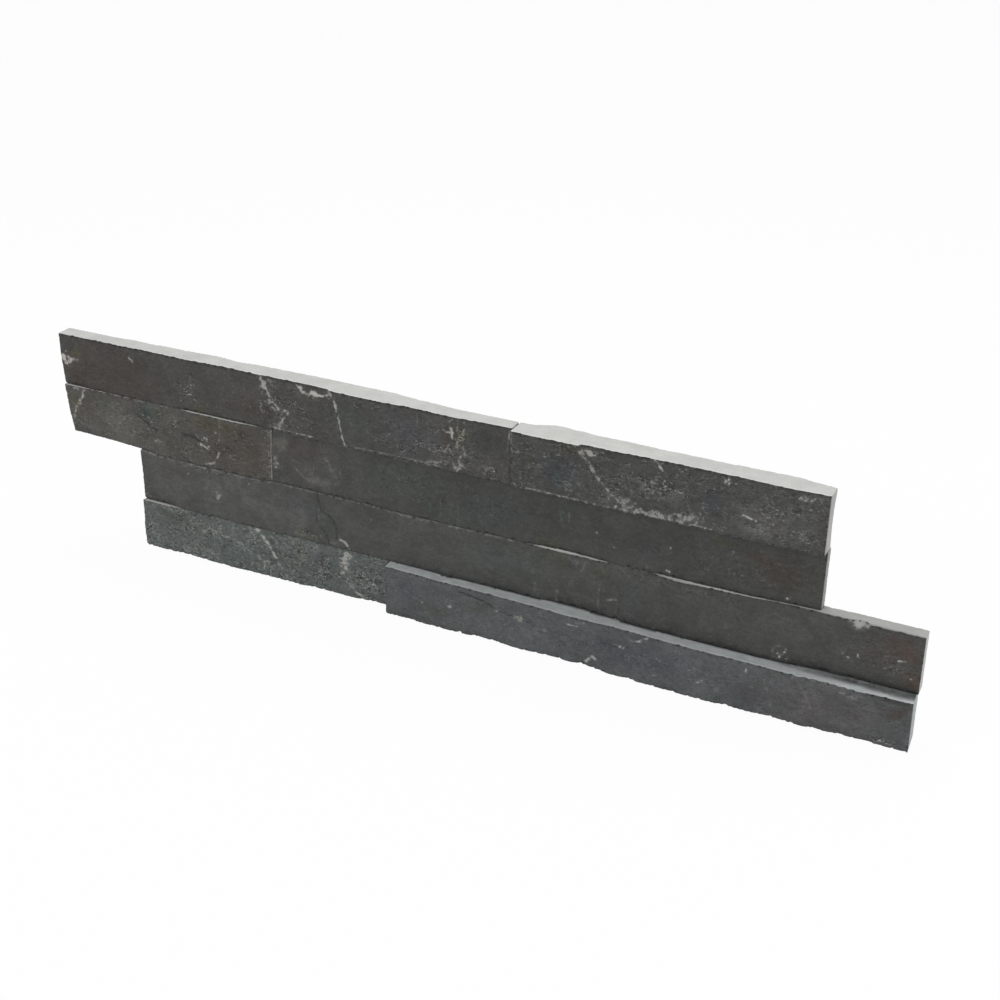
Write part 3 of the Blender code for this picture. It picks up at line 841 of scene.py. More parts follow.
def dress_top_right(strip):
    """A vein runs down to a crusted band along the foot, in mottled grey."""
    face = strip.front
    face.base(linear(65, 65, 63), 0.4)
    each(face.wash, (BLUE, 382, 128, 22, 17, 0.5), (TEAL, 382, 124, 12, 9, 0.4),
         (OLIVE, 388, 144, 12, 5, 0.5), (DARK_SLATE, 359.5, 130, 3, 26, 0.7),
         (PALE_SLATE, 520, 128, 40, 20, 0.45), (BLUE, 480, 128, 10, 12, 0.5), (BROWN, 547, 126, 5, 18, 0.5))
    each(face.vein, ([(351.2, 147), (351, 141), (350.6, 133)], 1.4, 0.6, 0.5),
         ([(350.6, 133), (350.6, 124)], 1.2, 0.3, 0.5),
         ([(392.5, 148), (397, 143), (400, 140), (403, 137), (406, 132.5), (410, 128), (414, 123.5),
           (418, 120), (424, 116.5)], 1.7, 0.72, 0.7),
         # The fourth vein: a pale line along the joint, partly pale sawn stone, partly painted highlight.
         ([(362, 111.8), (396, 111.7), (424, 111.6), (452, 111.8), (482, 111.6)], 1.2, 0.7, 0.5),
         ([(465, 125), (468, 119), (474, 117)], 1.3, 0.6, 1.2),
         ([(476, 126), (474, 120), (477, 116)], 1.3, 0.55, 1.2),
         ([(445, 146.5), (449, 141.6)], 1.5, 0.85, 0.6),
         ([(500, 125), (504, 124), (508.4, 123)], 1.5, 0.9, 0.6))
    each(face.cloud, (402.5, 144, 7, 6, 0.75), (425, 117.5, 12, 6, 0.55), (446, 113.0, 40, 5.0, 0.6),
         (467, 115, 14, 5, 0.6), (537, 143.6, 17, 4.6, 0.6), (537, 119.5, 6, 5, 0.35), (391, 120, 6, 4, 0.35),
         (440, 126, 18, 9, 0.34), (458, 127, 12, 8, 0.34), (512, 118, 22, 8, 0.3))
    each(face.speckle, (449, 113, 34, 5.5, 1.0), (535, 143, 20, 5, 0.8), (500, 112, 12, 4, 0.7),
         (359, 114, 8, 6, 0.6), (450, 130, 60, 22, 0.66), (525, 128, 30, 18, 0.66))
    each(face.spots, ([(421.5, 113.2)], 1.5, 0.8),
         ([(434, 113), (440, 112), (447, 113.4), (453, 112.2), (457, 114.5), (463, 114), (468, 117),
           (473, 116)], 1.0, 0.7), ([(444, 147), (488, 143.2), (489.4, 144.4), (490, 142.6)], 1.8, 0.95),
         ([(432, 132), (505, 132)], 1.2, 0.35))
    each(face.roughen, (450, 118, 90, 14, 0.22), (520, 128, 50, 20, 0.16))
    face.flake([(393, 149), (400, 140), (410, 128), (418, 120), (430, 109)], 0.4, 10)
    for place in (357, 379, 385, 391, 410, 428, 455, 461, 478, 494, 512, 527, 544):
        face.chip(face.from_top, place, 1.4, 0.4, 2.0, dark=0.7)
    face.carve(0.26, 0.09, 0.08, dash_shade=0.8)


def dress_second_left(strip):
    """Brown and olive casts round a flaked patch, with a white vein across its left end."""
    face = strip.front
    face.base(linear(73, 71, 67), 0.3)
    each(face.wash, (OLIVE, 9, 99, 9, 8, 0.8), (GREEN, 6, 80, 6, 8, 0.7), (RUST, 17, 92, 12, 8, 0.6),
         (RUST, 26, 89, 10, 3, 0.5), (GREEN, 32, 102, 14, 8, 0.55), (PALE_SLATE, 36, 86, 46, 26, 0.5),
         (GREEN, 71, 102, 12, 9, 0.8), (TEAL, 70, 102, 6, 8, 0.7), (OLIVE, 128, 104, 28, 8, 0.7),
         (BROWN, 146, 90, 34, 26, 0.7), (UMBER, 152, 104, 14, 8, 0.5))
    # The first vein: a pale line along the joint, partly pale sawn stone, partly painted highlight.
    each(face.vein, ([(2, 109.4), (40, 109.6), (88, 109.4)], 0.9, 0.55, 0.6),
         ([(18, 109.5), (15.4, 104), (12, 99), (9, 94), (6, 89), (4, 84)], 2.1, 0.8, 0.9),
         ([(76, 82), (79, 84), (84, 82)], 1.6, 0.6, 1.4), ([(80, 86), (77, 88), (79, 82)], 1.0, 0.35, 1.4),
         ([(116, 89), (119.5, 87.4), (122, 86)], 1.8, 0.85, 0.8),
         ([(112, 95), (117, 93.4), (121, 92)], 1.1, 0.6, 0.8), ([(114, 90), (114, 85)], 1.1, 0.5, 0.5),
         ([(131.5, 109), (131.5, 98), (130.5, 91)], 0.9, 0.5, 0.4),
         ([(131, 86), (129, 80), (126, 77), (120, 75)], 1.5, 0.7, 0.8),
         ([(145, 109), (145, 102)], 0.7, 0.35, 0.3), ([(170.2, 108), (170, 96)], 1.3, 0.4, 0.4),
         ([(170, 96), (170, 86), (170.4, 75)], 1.3, 0.6, 0.4))
    each(face.cloud, (10, 108, 8, 3, 0.5), (45, 90, 26, 8, 0.22), (94, 102, 8, 5, 0.3),
         (128.5, 99, 3, 4, 0.5))
    each(face.speckle, (70, 92, 60, 26, 0.55), (130, 88, 44, 24, 0.5), (6, 80, 6, 8, 0.7),
         (20, 77, 24, 5, 0.6), (48, 96, 20, 14, 0.45), (95, 98, 14, 12, 0.8), (116, 90, 16, 10, 0.5),
         (90, 75, 80, 4, 0.45))
    each(face.spots, ([(119, 93), (117.5, 92)], 1.6, 0.7),
         ([(119.6, 94), (121.2, 93.6), (122.4, 88)], 1.6, 0.85))
    each(face.roughen, (95, 98, 15, 13, 0.42), (114, 91, 12, 8, 0.25))
    each(face.crack, ([(61, 99), (64, 97.5), (67, 95.5), (71, 94), (74, 92.5), (79, 91)], 1.3, 0.6, 0.8),
         ([(77, 87), (80, 84.5)], 1.0, 0.4, 0.6), ([(99, 88.5), (105, 89.5)], 0.9, 0.3, 0.5),
         ([(100, 91.5), (106, 93), (111, 92.5), (116, 90.5)], 1.3, 0.6, 0.9))
    each(face.flake, ([(79, 91), (71, 94), (66, 96), (61, 99)], -0.5, 12),
         ([(99, 88.5), (108, 91), (117, 90)], 0.35, 8))
    face.carve(0.34, 0.08, 0.08, dash_shade=0.0)


def dress_second_right(strip):
    """Plain dark slate, browner towards its ends, with faint upright strokes."""
    face = strip.front
    face.base(linear(62, 63, 60), 0.08)
    each(face.wash, (linear(74, 73, 71), 224, 92, 56, 28, 0.6), (linear(80, 77, 74), 194, 90, 34, 26, 0.55),
         (BROWN, 200, 102, 26, 14, 0.5), (PALE_SLATE, 179, 101, 9, 8, 0.7), (PALE_SLATE, 211, 80, 12, 6, 0.6),
         (GREEN, 260, 95, 60, 20, 0.35), (BLUE, 338, 90, 34, 18, 0.3), (TEAL, 322, 82, 26, 10, 0.4),
         (OLIVE, 378, 75, 12, 4, 0.6), (PURPLE, 440, 86, 20, 12, 0.4), (OLIVE, 487, 102, 8, 4, 0.5),
         (BROWN, 526, 90, 34, 22, 0.6), (RUST, 512, 98, 14, 6, 0.35), (TEAL, 386, 96, 6, 7, 0.7))
    # The first two veins: a pale line along the joint, partly pale sawn stone, partly painted highlight.
    each(face.vein, ([(174, 109.4), (210, 109.6), (262, 109.2), (296, 109.4)], 0.9, 0.52, 0.8),
         ([(296, 109.4), (330, 109.6), (360, 109.2)], 0.8, 0.4, 0.8),
         ([(189, 87), (193, 84.5), (197, 81), (201, 79.2)], 1.6, 0.5, 0.8),
         ([(188.5, 91.4), (192, 91)], 1.0, 0.45, 0.4), ([(205, 92), (205, 88.5)], 0.8, 0.45, 0.2),
         ([(212, 98), (216, 96), (218, 91), (222, 86.5)], 1.6, 0.42, 0.8),
         ([(204, 81), (204, 77)], 1.2, 0.4, 0.4), ([(236, 88), (250, 91), (264, 92)], 0.9, 0.14, 0.5),
         ([(252, 80), (258, 80.4), (266, 80)], 1.0, 0.22, 0.5), ([(309, 101.4), (312, 101)], 0.9, 0.4, 0.3),
         ([(389, 93), (389, 99)], 1.2, 0.5, 0.3), ([(384, 92), (383, 99)], 1.2, 0.35, 0.4),
         ([(537, 97.5), (542, 101)], 1.1, 0.3, 0.5), ([(521, 96), (525, 95), (531, 97)], 1.1, 0.28, 0.5),
         ([(478, 86), (480.5, 82)], 1.2, 0.25, 0.4))
    each(face.cloud, (175, 86, 4, 7, 0.55), (212, 81, 9, 5, 0.25), (225, 91, 2.2, 3, 0.5))
    each(face.speckle, (176, 86, 5, 8, 0.9), (300, 92, 140, 20, 0.28), (500, 88, 60, 18, 0.35))
    each(face.spots, ([(318, 100.5), (374, 96), (391, 101)], 1.2, 0.3),
         ([(408, 90), (456, 91), (529.5, 75.2), (454.5, 75.6), (456.5, 75.2)], 1.7, 0.9),
         ([(408, 85), (420, 83), (456.5, 88.4), (495, 98), (502, 84), (512, 101.6), (442, 76)], 1.5, 0.5))
    each(face.crack, ([(419, 102), (423, 100.5), (428, 98)], 0.8, 0.25, 0.45),
         ([(448, 89), (448.6, 86)], 0.9, 0.2, 0.4))
    for place, low, high in ((293, 77, 85), (300.5, 76, 88), (313, 76, 86), (321, 77, 82), (326.5, 92, 97)):
        face.vein([(place, low), (place - 0.6, high)], 1.1, 0.26, 0.4)
        face.wash(TEAL, place, (low + high) / 2, 2.4, 7, 0.6)
    face.carve(0.30, 0.05, 0.05)
    # Painted shade: the right end is darker than the others.
    strip.tones["right"] = 0.55


def dress_third(strip):
    """Plain slate with two hair cracks, and rusty at its right end, where a pale chip is out."""
    face = strip.front
    face.base(linear(69, 70, 68), 0.08)
    each(face.wash, (linear(82, 82, 78), 128, 54, 100, 34, 0.85), (BROWN, 92, 64, 30, 10, 0.45),
         (GREEN, 120, 46, 40, 14, 0.3), (PURPLE, 179, 56, 10, 8, 0.6), (PURPLE, 156, 42, 5, 5, 0.5),
         (BLUE, 196, 55, 20, 16, 0.4), (PALE_SLATE, 190, 50, 28, 16, 0.4), (GREEN, 216, 50, 10, 12, 0.6),
         (OLIVE, 196, 38, 14, 4, 0.6), (DARK_SLATE, 240, 66, 30, 10, 0.4), (TEAL, 345, 56, 40, 16, 0.35),
         (OLIVE, 384, 67, 14, 7, 0.5), (OLIVE, 412, 65, 12, 8, 0.45), (PURPLE, 396, 66, 8, 6, 0.5),
         (BLUE, 434, 54, 12, 16, 0.35), (linear(76, 73, 71), 586, 54, 34, 26, 0.6),
         # The dark slate at 486 along the foot is painted shade above the ledge.
         (BROWN, 594, 58, 24, 16, 0.4), (DARK_SLATE, 486, 39, 84, 11, 0.4), (DARK_SLATE, 572, 66, 20, 6, 0.4),
         (RUST, 602, 62, 17, 13, 0.65), (RUST, 608, 43, 13, 10, 0.6), (DARK_SLATE, 470, 54, 76, 30, 0.2))
    ring = [(530 + 4.8 * math.cos(turn), 41 + 4.6 * math.sin(turn)) for turn in np.linspace(0.6, 6.0, 14)]
    each(face.vein, ([(122, 63), (119, 57), (117, 56)], 1.2, 0.4, 0.6),
         ([(125, 47), (131, 49)], 1.0, 0.35, 0.5), ([(209, 65), (212, 60), (218, 58.4)], 0.9, 0.35, 0.6),
         ([(224, 42), (229, 40.5), (231.5, 36)], 1.8, 0.75, 0.9), ([(368, 38), (368, 47)], 1.6, 0.42, 0.4),
         ([(382.5, 37), (383, 44)], 1.6, 0.5, 0.6), ([(413, 58), (412, 52), (411.6, 40)], 1.1, 0.5, 0.7),
         ([(417.5, 47), (421, 48), (424.4, 48.6)], 1.2, 0.65, 0.4),
         ([(391, 70), (395, 66), (399, 62)], 1.3, 0.45, 0.8),
         ([(403, 70), (401, 66), (399, 62)], 1.2, 0.4, 0.8), ([(413, 69), (415, 65)], 1.0, 0.35, 0.4),
         (ring, 1.3, 0.5, 0.8), ([(598.6, 53.6), (602.4, 54.2)], 1.2, 0.95, 0.3),
         # The last two veins: a pale line along the joint, partly pale sawn stone, partly painted highlight.
         ([(593, 55), (598, 56)], 0.9, 0.3, 0.4), ([(63, 71.8), (112, 71.9), (168, 71.8)], 0.9, 0.62, 0.7),
         ([(168, 71.8), (226, 71.8), (296, 71.6), (352, 71.8)], 0.9, 0.56, 0.7))
    each(face.cloud, (128, 52.5, 5, 4.2, 0.6), (194, 38.5, 8, 3, 0.5), (203, 44, 5, 2.4, 0.35),
         (219, 38.5, 5, 3.4, 0.4), (68, 37.6, 6, 1.4, 0.6), (367, 54, 4, 3, 0.28), (393, 52, 4, 6, 0.22),
         (397, 68, 7, 3.4, 0.4), (530, 41, 4.5, 4.5, 0.4))
    each(face.speckle, (200, 40, 20, 6, 0.8), (66, 38, 8, 2.4, 0.8), (584, 54, 30, 22, 0.3),
         (596, 50, 18, 10, 0.5), (470, 68, 90, 4, 0.4), (130, 70, 70, 3, 0.6))
    each(face.spots, ([(104, 64.5), (154, 67.5)], 1.5, 0.75),
         ([(208.5, 60), (209.5, 41), (208, 55)], 1.5, 0.65), ([(248.5, 62), (289.5, 53)], 1.5, 0.6),
         ([(424, 52)], 1.2, 0.4), ([(529.5, 38.6), (532.6, 42.4), (528.3, 40.6)], 1.7, 1.0),
         ([(569.3, 48), (575, 49.4)], 1.6, 1.0),
         ([(566.4, 50), (572.4, 45.8), (600, 46), (607, 44)], 1.4, 0.7))
    each(face.crack, ([(122.5, 72), (122.5, 63)], 0.8, 0.25, 0.5),
         ([(207, 72), (208, 67), (210, 61), (213, 59), (217, 57.5), (220, 54), (222, 49),
           (222, 42)], 1.1, 0.4, 0.7),
         ([(206, 57), (206.5, 52), (209, 48), (212, 45), (215, 41), (216, 36)], 1.0, 0.35, 0.6),
         ([(425.2, 58), (426, 47), (425.6, 36)], 0.7, 0.15, 0.32), ([(430, 72), (436, 68)], 0.9, 0.3, 0.5),
         ([(502, 57), (502.3, 55)], 0.9, 0.2, 0.6),
         # The last crack is a dark line of painted shade along the foot, with no cut.
         ([(452, 36.6), (500, 36.4), (550, 36.6), (611, 36.4)], 2.2, 0.0, 0.4))
    face.flake([(222, 42), (222, 49), (217, 57.5), (210, 61), (207, 72)], 0.4, 12)
    for place in (480, 487, 495, 503, 518, 540):
        face.vein([(place, 46), (place - 0.8, 62)], 1.2, 0.10, 0.6)
    # Painted shade: a dark band along the foot, above the ledge of the bottom course.
    for place, share in ((300, 0.45), (350, 0.5), (400, 0.4), (450, 0.5), (500, 0.55), (550, 0.5),
                         (596, 0.4)):
        face.wash(CREVICE_SHADE[:3], place, 34, 40, 7, share)
    for place, width in ((352, 3), (363, 2.4), (386, 3), (394, 4), (402, 3), (409, 4), (416, 3), (424, 3),
                         (431, 2.4), (556, 4), (572, 3)):
        face.chip(face.from_bottom, place, 2.2, 0.9, width, dark=0.5)
    each(face.chip, (face.from_top, 573.5, 8.5, 2.0, 6.5, 0.8), (face.from_top, 578, 5.0, 1.0, 3.6, 0.7),
         (face.from_top, 568.5, 4.5, 0.7, 2.0, 0.5))
    for place in (446, 459, 484, 561, 566, 584, 598):
        face.chip(face.from_top, place, 1.5, 0.7, 2.0, dark=0.6)
    face.carve(0.30, 0.05, 0.05, dash_shade=0.1)
    # Painted light and shade: a darker top and rim, a lighter right end, and lit ledges at 384 and 492.
    strip.tones["top"] = 0.6
    strip.tones["right"] = 0.84
    strip.rim_light = -0.15
    strip.stains_and_shading = [(584, 46, 0.4, 2.2, -0.14), (384, 50, 0.0, 5.0, 0.42), (492, 52, 0.0, 5.0, 0.38)]


def dress_bottom_left(strip):
    """Pale green-grey and rough, with a white vein and a cloud of white mineral."""
    face = strip.front
    face.base(linear(86, 91, 89), 0.55)
    each(face.wash, (linear(92, 95, 92), 110, 18, 50, 26, 0.5), (GREEN, 90, 26, 30, 10, 0.35),
         (TEAL, 130, 16, 60, 14, 0.3), (GREEN, 186, 16, 40, 22, 0.15), (BROWN, 90, 27, 10, 4, 0.4),
         (BROWN, 170, 27, 4, 4, 0.6), (OLIVE, 192, 25, 12, 9, 0.35), (PURPLE, 206, 24, 12, 10, 0.55),
         (TEAL, 171, 14, 5, 4, 0.5))
    # The first two veins: a pale line along the joint, partly pale sawn stone, partly painted highlight.
    each(face.vein, ([(62, 34), (80, 33.6), (100, 34.2), (106, 34)], 0.9, 0.55, 0.8),
         ([(118, 33.4), (140, 33.8), (155, 34.2)], 0.9, 0.35, 1.0),
         ([(112, 21.5), (115, 22.5), (119, 26), (122, 24.5), (126, 22.6), (133, 22.4), (141, 21),
           (147, 18.5), (153, 13.5)], 2.2, 0.62, 1.8),
         ([(157, 35), (160, 32.5), (163, 29.5), (166, 26), (168, 22), (171, 18), (173, 15),
           (171, 13.5)], 2.0, 0.82, 0.7), ([(173, 13.5), (177, 8.5), (181, 4), (183, 1)], 2.0, 0.55, 1.2),
         ([(165, 28), (169, 31), (172, 29.6), (174.5, 26), (173.6, 24)], 1.2, 0.6, 0.6),
         ([(160, 7), (163, 10.6), (168, 11.4)], 1.1, 0.7, 0.9), ([(161, 4.4), (164, 8.6)], 1.1, 0.7, 0.9),
         ([(157, 14), (161, 10), (163, 5)], 1.7, 0.62, 1.4), ([(166, 11), (170, 5.5)], 1.7, 0.6, 1.4),
         ([(225, 15), (229, 12), (233, 8), (236, 5), (240.5, 2)], 1.5, 0.65, 1.1),
         ([(235, 4.8), (241, 2.4)], 1.8, 1.0, 0.5))
    each(face.cloud, (63, 29, 2.6, 4, 0.6), (159, 33, 4, 3.4, 0.8), (163, 8, 8, 5, 0.3),
         (122, 7, 12, 4, 0.35), (227, 26, 9, 15, 0.72), (229.5, 32, 5, 5, 0.7), (226, 17.5, 4, 6, 0.6),
         (243, 16, 12, 14, 0.25))
    each(face.speckle, (212, 24, 18, 12, 0.85), (243, 16, 22, 19, 0.95))
    each(face.spots,
         ([(114.5, 22.4), (127, 23), (132, 22), (147, 18.4), (152, 13.6), (161, 22), (140, 3.6),
           (196, 8)], 1.7, 0.62), ([(236, 28)], 1.3, 0.9))
    each(face.roughen, (110, 17, 60, 20, 0.22), (180, 17, 50, 20, 0.26), (212, 24, 18, 10, 0.36),
         (245, 16, 16, 18, 0.50))
    face.crack([(106.5, 33), (106.6, 20)], 0.9, 0.3, 0.4)
    face.flake([(173, 12), (171, 18), (166, 26), (157, 36)], 0.5, 14)
    strokes = ((70, 30, 84, 22), (78, 12, 92, 20), (88, 30, 97, 24), (96, 12, 108, 7), (101, 27, 113, 30),
               (120, 31, 132, 28), (126, 12, 140, 15), (136, 30, 148, 24), (178, 30, 190, 22),
               (186, 14, 199, 8), (196, 31, 206, 27), (206, 12, 217, 17))
    for x0, z0, x1, z1 in strokes:
        face.vein([(x0, z0), (x1, z1)], 1.0, 0.42, 1.0)
    face.carve(0.36, 0.10, 0.16, dash_shade=0.1, foot=1.6)
    # Painted shade: the ledge under the third course is darker.
    strip.tones["top"] = 0.72


def dress_bottom_right(strip):
    """Smooth blue-grey, with small white marks along a long shallow flake."""
    face = strip.front
    face.base(linear(81, 84, 85), 0.16)
    each(face.wash, (linear(81, 78, 78), 562, 16, 74, 32, 0.85), (OLIVE, 300, 12, 16, 8, 0.3),
         (OLIVE, 334, 22, 18, 8, 0.3), (BLUE, 440, 20, 60, 16, 0.35), (BLUE, 276, 22, 16, 12, 0.35),
         (PURPLE, 518, 12, 26, 14, 0.5), (GREEN, 494, 4, 8, 4, 0.5), (BROWN, 603, 25, 15, 10, 0.75),
         (DARK_SLATE, 600, 34, 18, 4, 0.8), (BROWN, 300, 2, 60, 3, 0.4))
    each(face.vein, ([(394, 29.4), (401, 28.8), (406, 29.2)], 1.2, 0.75, 0.5),
         ([(396, 31.8), (401, 31.2), (405, 32)], 1.0, 0.5, 0.5),
         ([(407.5, 3.5), (410, 6.5), (413.5, 9)], 2.6, 0.9, 0.9),
         ([(427, 23), (431.6, 22.2), (435, 22.6)], 1.2, 0.6, 0.6),
         ([(436, 29), (440, 28.2), (445, 30.6), (450, 34.4)], 1.4, 0.75, 0.7),
         ([(312, 7.4), (318, 8.6)], 1.2, 0.4, 0.6), ([(388, 16), (393, 15.6), (397, 14)], 1.1, 0.25, 0.6),
         ([(452.6, 7), (456, 9.2)], 1.3, 0.6, 0.5),
         ([(481, 10), (483.6, 12.4), (487.4, 14.6)], 1.5, 0.75, 0.6),
         ([(513, 30.6), (513, 27)], 1.3, 0.75, 0.4),
         ([(524, 26), (526, 20), (527.5, 15), (529.6, 8)], 1.8, 0.42, 1.0),
         ([(546, 29.6), (549, 24.6), (551, 21), (553.4, 15)], 1.8, 0.42, 1.0),
         ([(559, 5), (566, 7.4), (573, 9), (578, 6), (580, 3)], 1.1, 0.28, 0.6),
         ([(552, 9), (558, 5.6)], 1.1, 0.35, 0.5))
    each(face.cloud, (361.5, 22.4, 8, 3.6, 0.75), (379, 19, 4, 3, 0.5), (270.5, 19, 3, 2.6, 0.5),
         (311, 19, 3, 3.4, 0.65), (498, 14.6, 4, 2.4, 0.3), (598, 3, 10, 2.4, 0.4), (575, 30, 10, 5, 0.5))
    each(face.speckle, (362, 22, 7, 3.4, 1.4), (598, 3, 14, 3.6, 0.9), (578, 30, 8, 5, 0.7),
         (430, 17, 170, 20, 0.3))
    each(face.spots, ([(346.5, 24.2), (345.5, 23.4)], 1.5, 0.8),
         ([(407, 32.6), (290.5, 16), (431.5, 22.2)], 1.6, 0.8),
         ([(309, 21.6), (312.5, 22.6), (297.5, 22), (311, 10.4)], 1.5, 0.4),
         ([(456.5, 20.4), (458, 20), (489, 19), (381, 12), (517, 18)], 1.5, 0.6))
    each(face.crack, ([(318, 30.5), (325, 30), (330, 29), (337, 28), (341, 26), (344, 24)], 1.1, 0.5, 0.75),
         ([(348, 23.6), (356, 22.8), (366, 21.6), (372, 20)], 1.1, 0.5, 0.6),
         ([(331, 35), (331.6, 30)], 0.9, 0.3, 0.4),
         ([(417, 22), (422, 21.6), (427, 21.2), (431, 22.4)], 1.0, 0.3, 0.5),
         ([(438, 31.6), (442, 30.4)], 1.0, 0.3, 0.5), ([(389.6, 11), (390.4, 8)], 1.0, 0.3, 0.4))
    face.flake([(318, 30), (330, 28.4), (341, 25.4), (350, 22.6), (366, 21), (374, 19)], -0.45, 14)
    for place in (541, 548, 554, 561, 566, 572, 577):
        face.chip(face.from_top, place, 2.2, 1.0, 3.0, pale=0.35)
    for place in (268, 284, 309, 340, 383, 426, 470, 498, 586, 596):
        face.chip(face.from_top, place, 1.4, 0.6, 2.2, dark=0.45)
    for place, width in ((281, 6), (342, 5), (372, 8), (404, 7), (436, 8), (500, 7), (556, 6), (586, 7)):
        face.chip(face.from_bottom, place, 5.0, 1.0, width)
    face.carve(0.28, 0.04, 0.05, dash_shade=0.5, foot=1.9)
    strip.sawn = np.array(linear(198, 203, 203))
    # Painted light and shade: the ledge under the third course is darker, with a painted highlight on its
    # rim.
    strip.tones["top"] = 0.60
    strip.tones["right"] = 0.72
    strip.rim_light = 0.08
    strip.smear = 0.12
    # Darker at the back of the ledge by the third course's foot, partly painted shade, partly a rough dark
    # band.
    strip.stains_and_shading = [(604, 46, -3.5, 6.0, -0.44), (556, 34, -4.0, 4.0, -0.32), (304, 7, -2.5, 2.0, 0.3),
                    (392, 22, -3.0, 2.6, 0.1), (590, 40, -10.0, 2.6, 0.16)]


def dress_back(strip, number):
    """The hidden back: split slate with casts, flakes, veins, cracks and pale arrises of its own."""
    face = strip.back
    dice = random.Random(number)
    left, right = face.solid.low[0], face.solid.high[0]
    bottom, top = face.solid.low[2], face.solid.high[2]
    face.base(BACK_TINTS[number % len(BACK_TINTS)], 0.2)
    for start in np.arange(left, right, BACK_PITCH):
        x = start + dice.uniform(0.2, 0.8) * BACK_PITCH
        z = dice.uniform(bottom, top)
        lean = dice.uniform(-22.0, 22.0)
        line = [(x - lean, bottom - 2.0), (x + dice.uniform(-7.0, 7.0), z), (x + lean, top + 2.0)]
        face.wash(dice.choice(BACK_CASTS), x, z, dice.uniform(22.0, 50.0), dice.uniform(9.0, 22.0), 0.6)
        face.speckle(x, z, dice.uniform(14.0, 40.0), dice.uniform(8.0, 20.0), dice.uniform(0.4, 0.8))
        face.cloud(x + lean, z, dice.uniform(5.0, 14.0), dice.uniform(3.0, 7.0), dice.uniform(0.2, 0.5))
        form = dice.random()
        if form < FLAKES_UP_TO:
            face.flake(line, dice.uniform(0.4, 0.8), dice.uniform(24.0, 60.0))
        elif form < VEINS_UP_TO:
            face.vein(line, dice.uniform(1.1, 2.0), dice.uniform(0.3, 0.7), 1.4)
        else:
            face.crack(line, 1.0, -0.4, 0.6)
    face.pale = np.maximum(face.pale, 0.3 * fall(np.minimum(face.from_top, face.from_bottom), 3.0))
    face.carve(0.45, 0.07, 0.08)


COURSES = (
    {"top_course_left_stone": dress_top_left, "top_course_right_stone": dress_top_right},
    {"second_course_left_stone": dress_second_left, "second_course_right_stone": dress_second_right},
    {"third_course_stone": dress_third},
    {"bottom_course_left_stone": dress_bottom_left, "bottom_course_right_stone": dress_bottom_right},
)


def make_stones():
    """Build the strips from the top course down. Each knows which strips stand on it."""
    materials = [riven_slate(), sawn_slate()]
    seed = 1.0
    above = ()
    for course in COURSES:
        closing = (0.0 if course is COURSES[-1] else SEAM_CLOSING, SEAM_CLOSING if above else 0.0)
        for node, dress in course.items():
            strip = Strip(node, seed, closing, above)
            dress(strip)
            dress_back(strip, int(seed))
            strip.build(materials)
            seed += 1.0
        above = tuple(course)


def squeeze_out(node, left, right, shows, material):
    """The glue of a joint between two strips of a course, as a slab that fills it up to its face.

    shows lists heights, each with how far the glue lies back there from the stones beside it.
    """
    solids = [Solid(name) for name in (left, right)]
    bottom = solids[0].low[2] - SEAM_CLOSING + GLUE_EASE
    top = solids[0].high[2] - GLUE_EASE
    heights = np.linspace(bottom, top, round((top - bottom) / GRID) + 1)
    sides = (solids[0].outline(heights, True, np.max), solids[1].outline(heights, True, np.min))
    across = np.linspace(0.0, 1.0, GLUE_COLUMNS + 1)[:, None]
    x = sides[0][None, :] + across * (sides[1] - sides[0])[None, :]
    z = np.repeat(heights[None, :], GLUE_COLUMNS + 1, axis=0)
    faces = []
    for solid, edge, step in zip(solids, sides, (-GLUE_PROBE, GLUE_PROBE)):
        probe = (edge + step)[None, :]
        safe = np.clip(heights, solid.low[2] + EDGE_INSET, solid.high[2] - EDGE_INSET)[None, :]
        faces.append((solid.depths(probe, safe, True)[0], solid.depths(probe, safe, False)[0]))
    front = faces[0][0] * (1.0 - across) + faces[1][0] * across
    back = np.minimum(faces[0][1], faces[1][1])[None, :] - GLUE_BACK
    recess = np.interp(heights, *zip(*shows))[None, :]
    recess = recess + GLUE_FRONT_BUMPS * fractal(x, z, *GLUE_FRONT_SWELLS)
    front = front + np.maximum(recess, GLUE_LEAST_RECESS)
    back = np.repeat(back, GLUE_COLUMNS + 1, axis=0) + GLUE_BACK_BUMPS * fractal(x, z, *GLUE_BACK_SWELLS)
    points = [np.stack([x, depth, z], axis=-1).reshape(-1, 3) for depth in (front, back)]
    grid = np.arange(x.size).reshape(x.shape)
    outward = grid_quads(grid)
    rim = np.concatenate([grid[:-1, 0], grid[-1, :-1], grid[:0:-1, -1], grid[0, :0:-1]])
    quads = np.concatenate([outward, outward[:, ::-1] + x.size, band_quads(rim, rim + x.size)])
    mesh = new_mesh(node + "_squeezed", np.concatenate(points), quads)
    mesh.materials.append(material)
    mesh.shade_smooth()
    glue = add_object(node + "_squeezed", mesh)
    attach(glue, BODY)
    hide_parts(node)


def finish_glue():
    """The bed glue keeps its solids. The glue that shows at two joints is made anew."""
    material = cured_glue()
    for name in GLUE_NODES:
        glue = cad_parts[name]
        glue.data.materials.clear()
        glue.data.materials.append(material)
    squeeze_out("top_butt_glue", "top_course_left_stone", "top_course_right_stone",
                [(111, 1.6), (126, 1.0), (132, 0.35), (143, 0.2), (146, 0.8), (147, 3.0)], material)
    squeeze_out("second_butt_glue", "second_course_left_stone", "second_course_right_stone",
                [(73, 0.5), (77, 0.3), (100, 0.4), (106, 0.3), (110, 0.5)], material)


def seen_share(tree):
    """1 for a ray that shows the surroundings: from the camera, or off or through a surface."""
    path = add_node(tree, "ShaderNodeLightPath")
    shown = calculate(tree, "MAXIMUM", path.outputs["Is Camera Ray"], path.outputs["Is Glossy Ray"])
    return calculate(tree, "MAXIMUM", shown, path.outputs["Is Transmission Ray"])


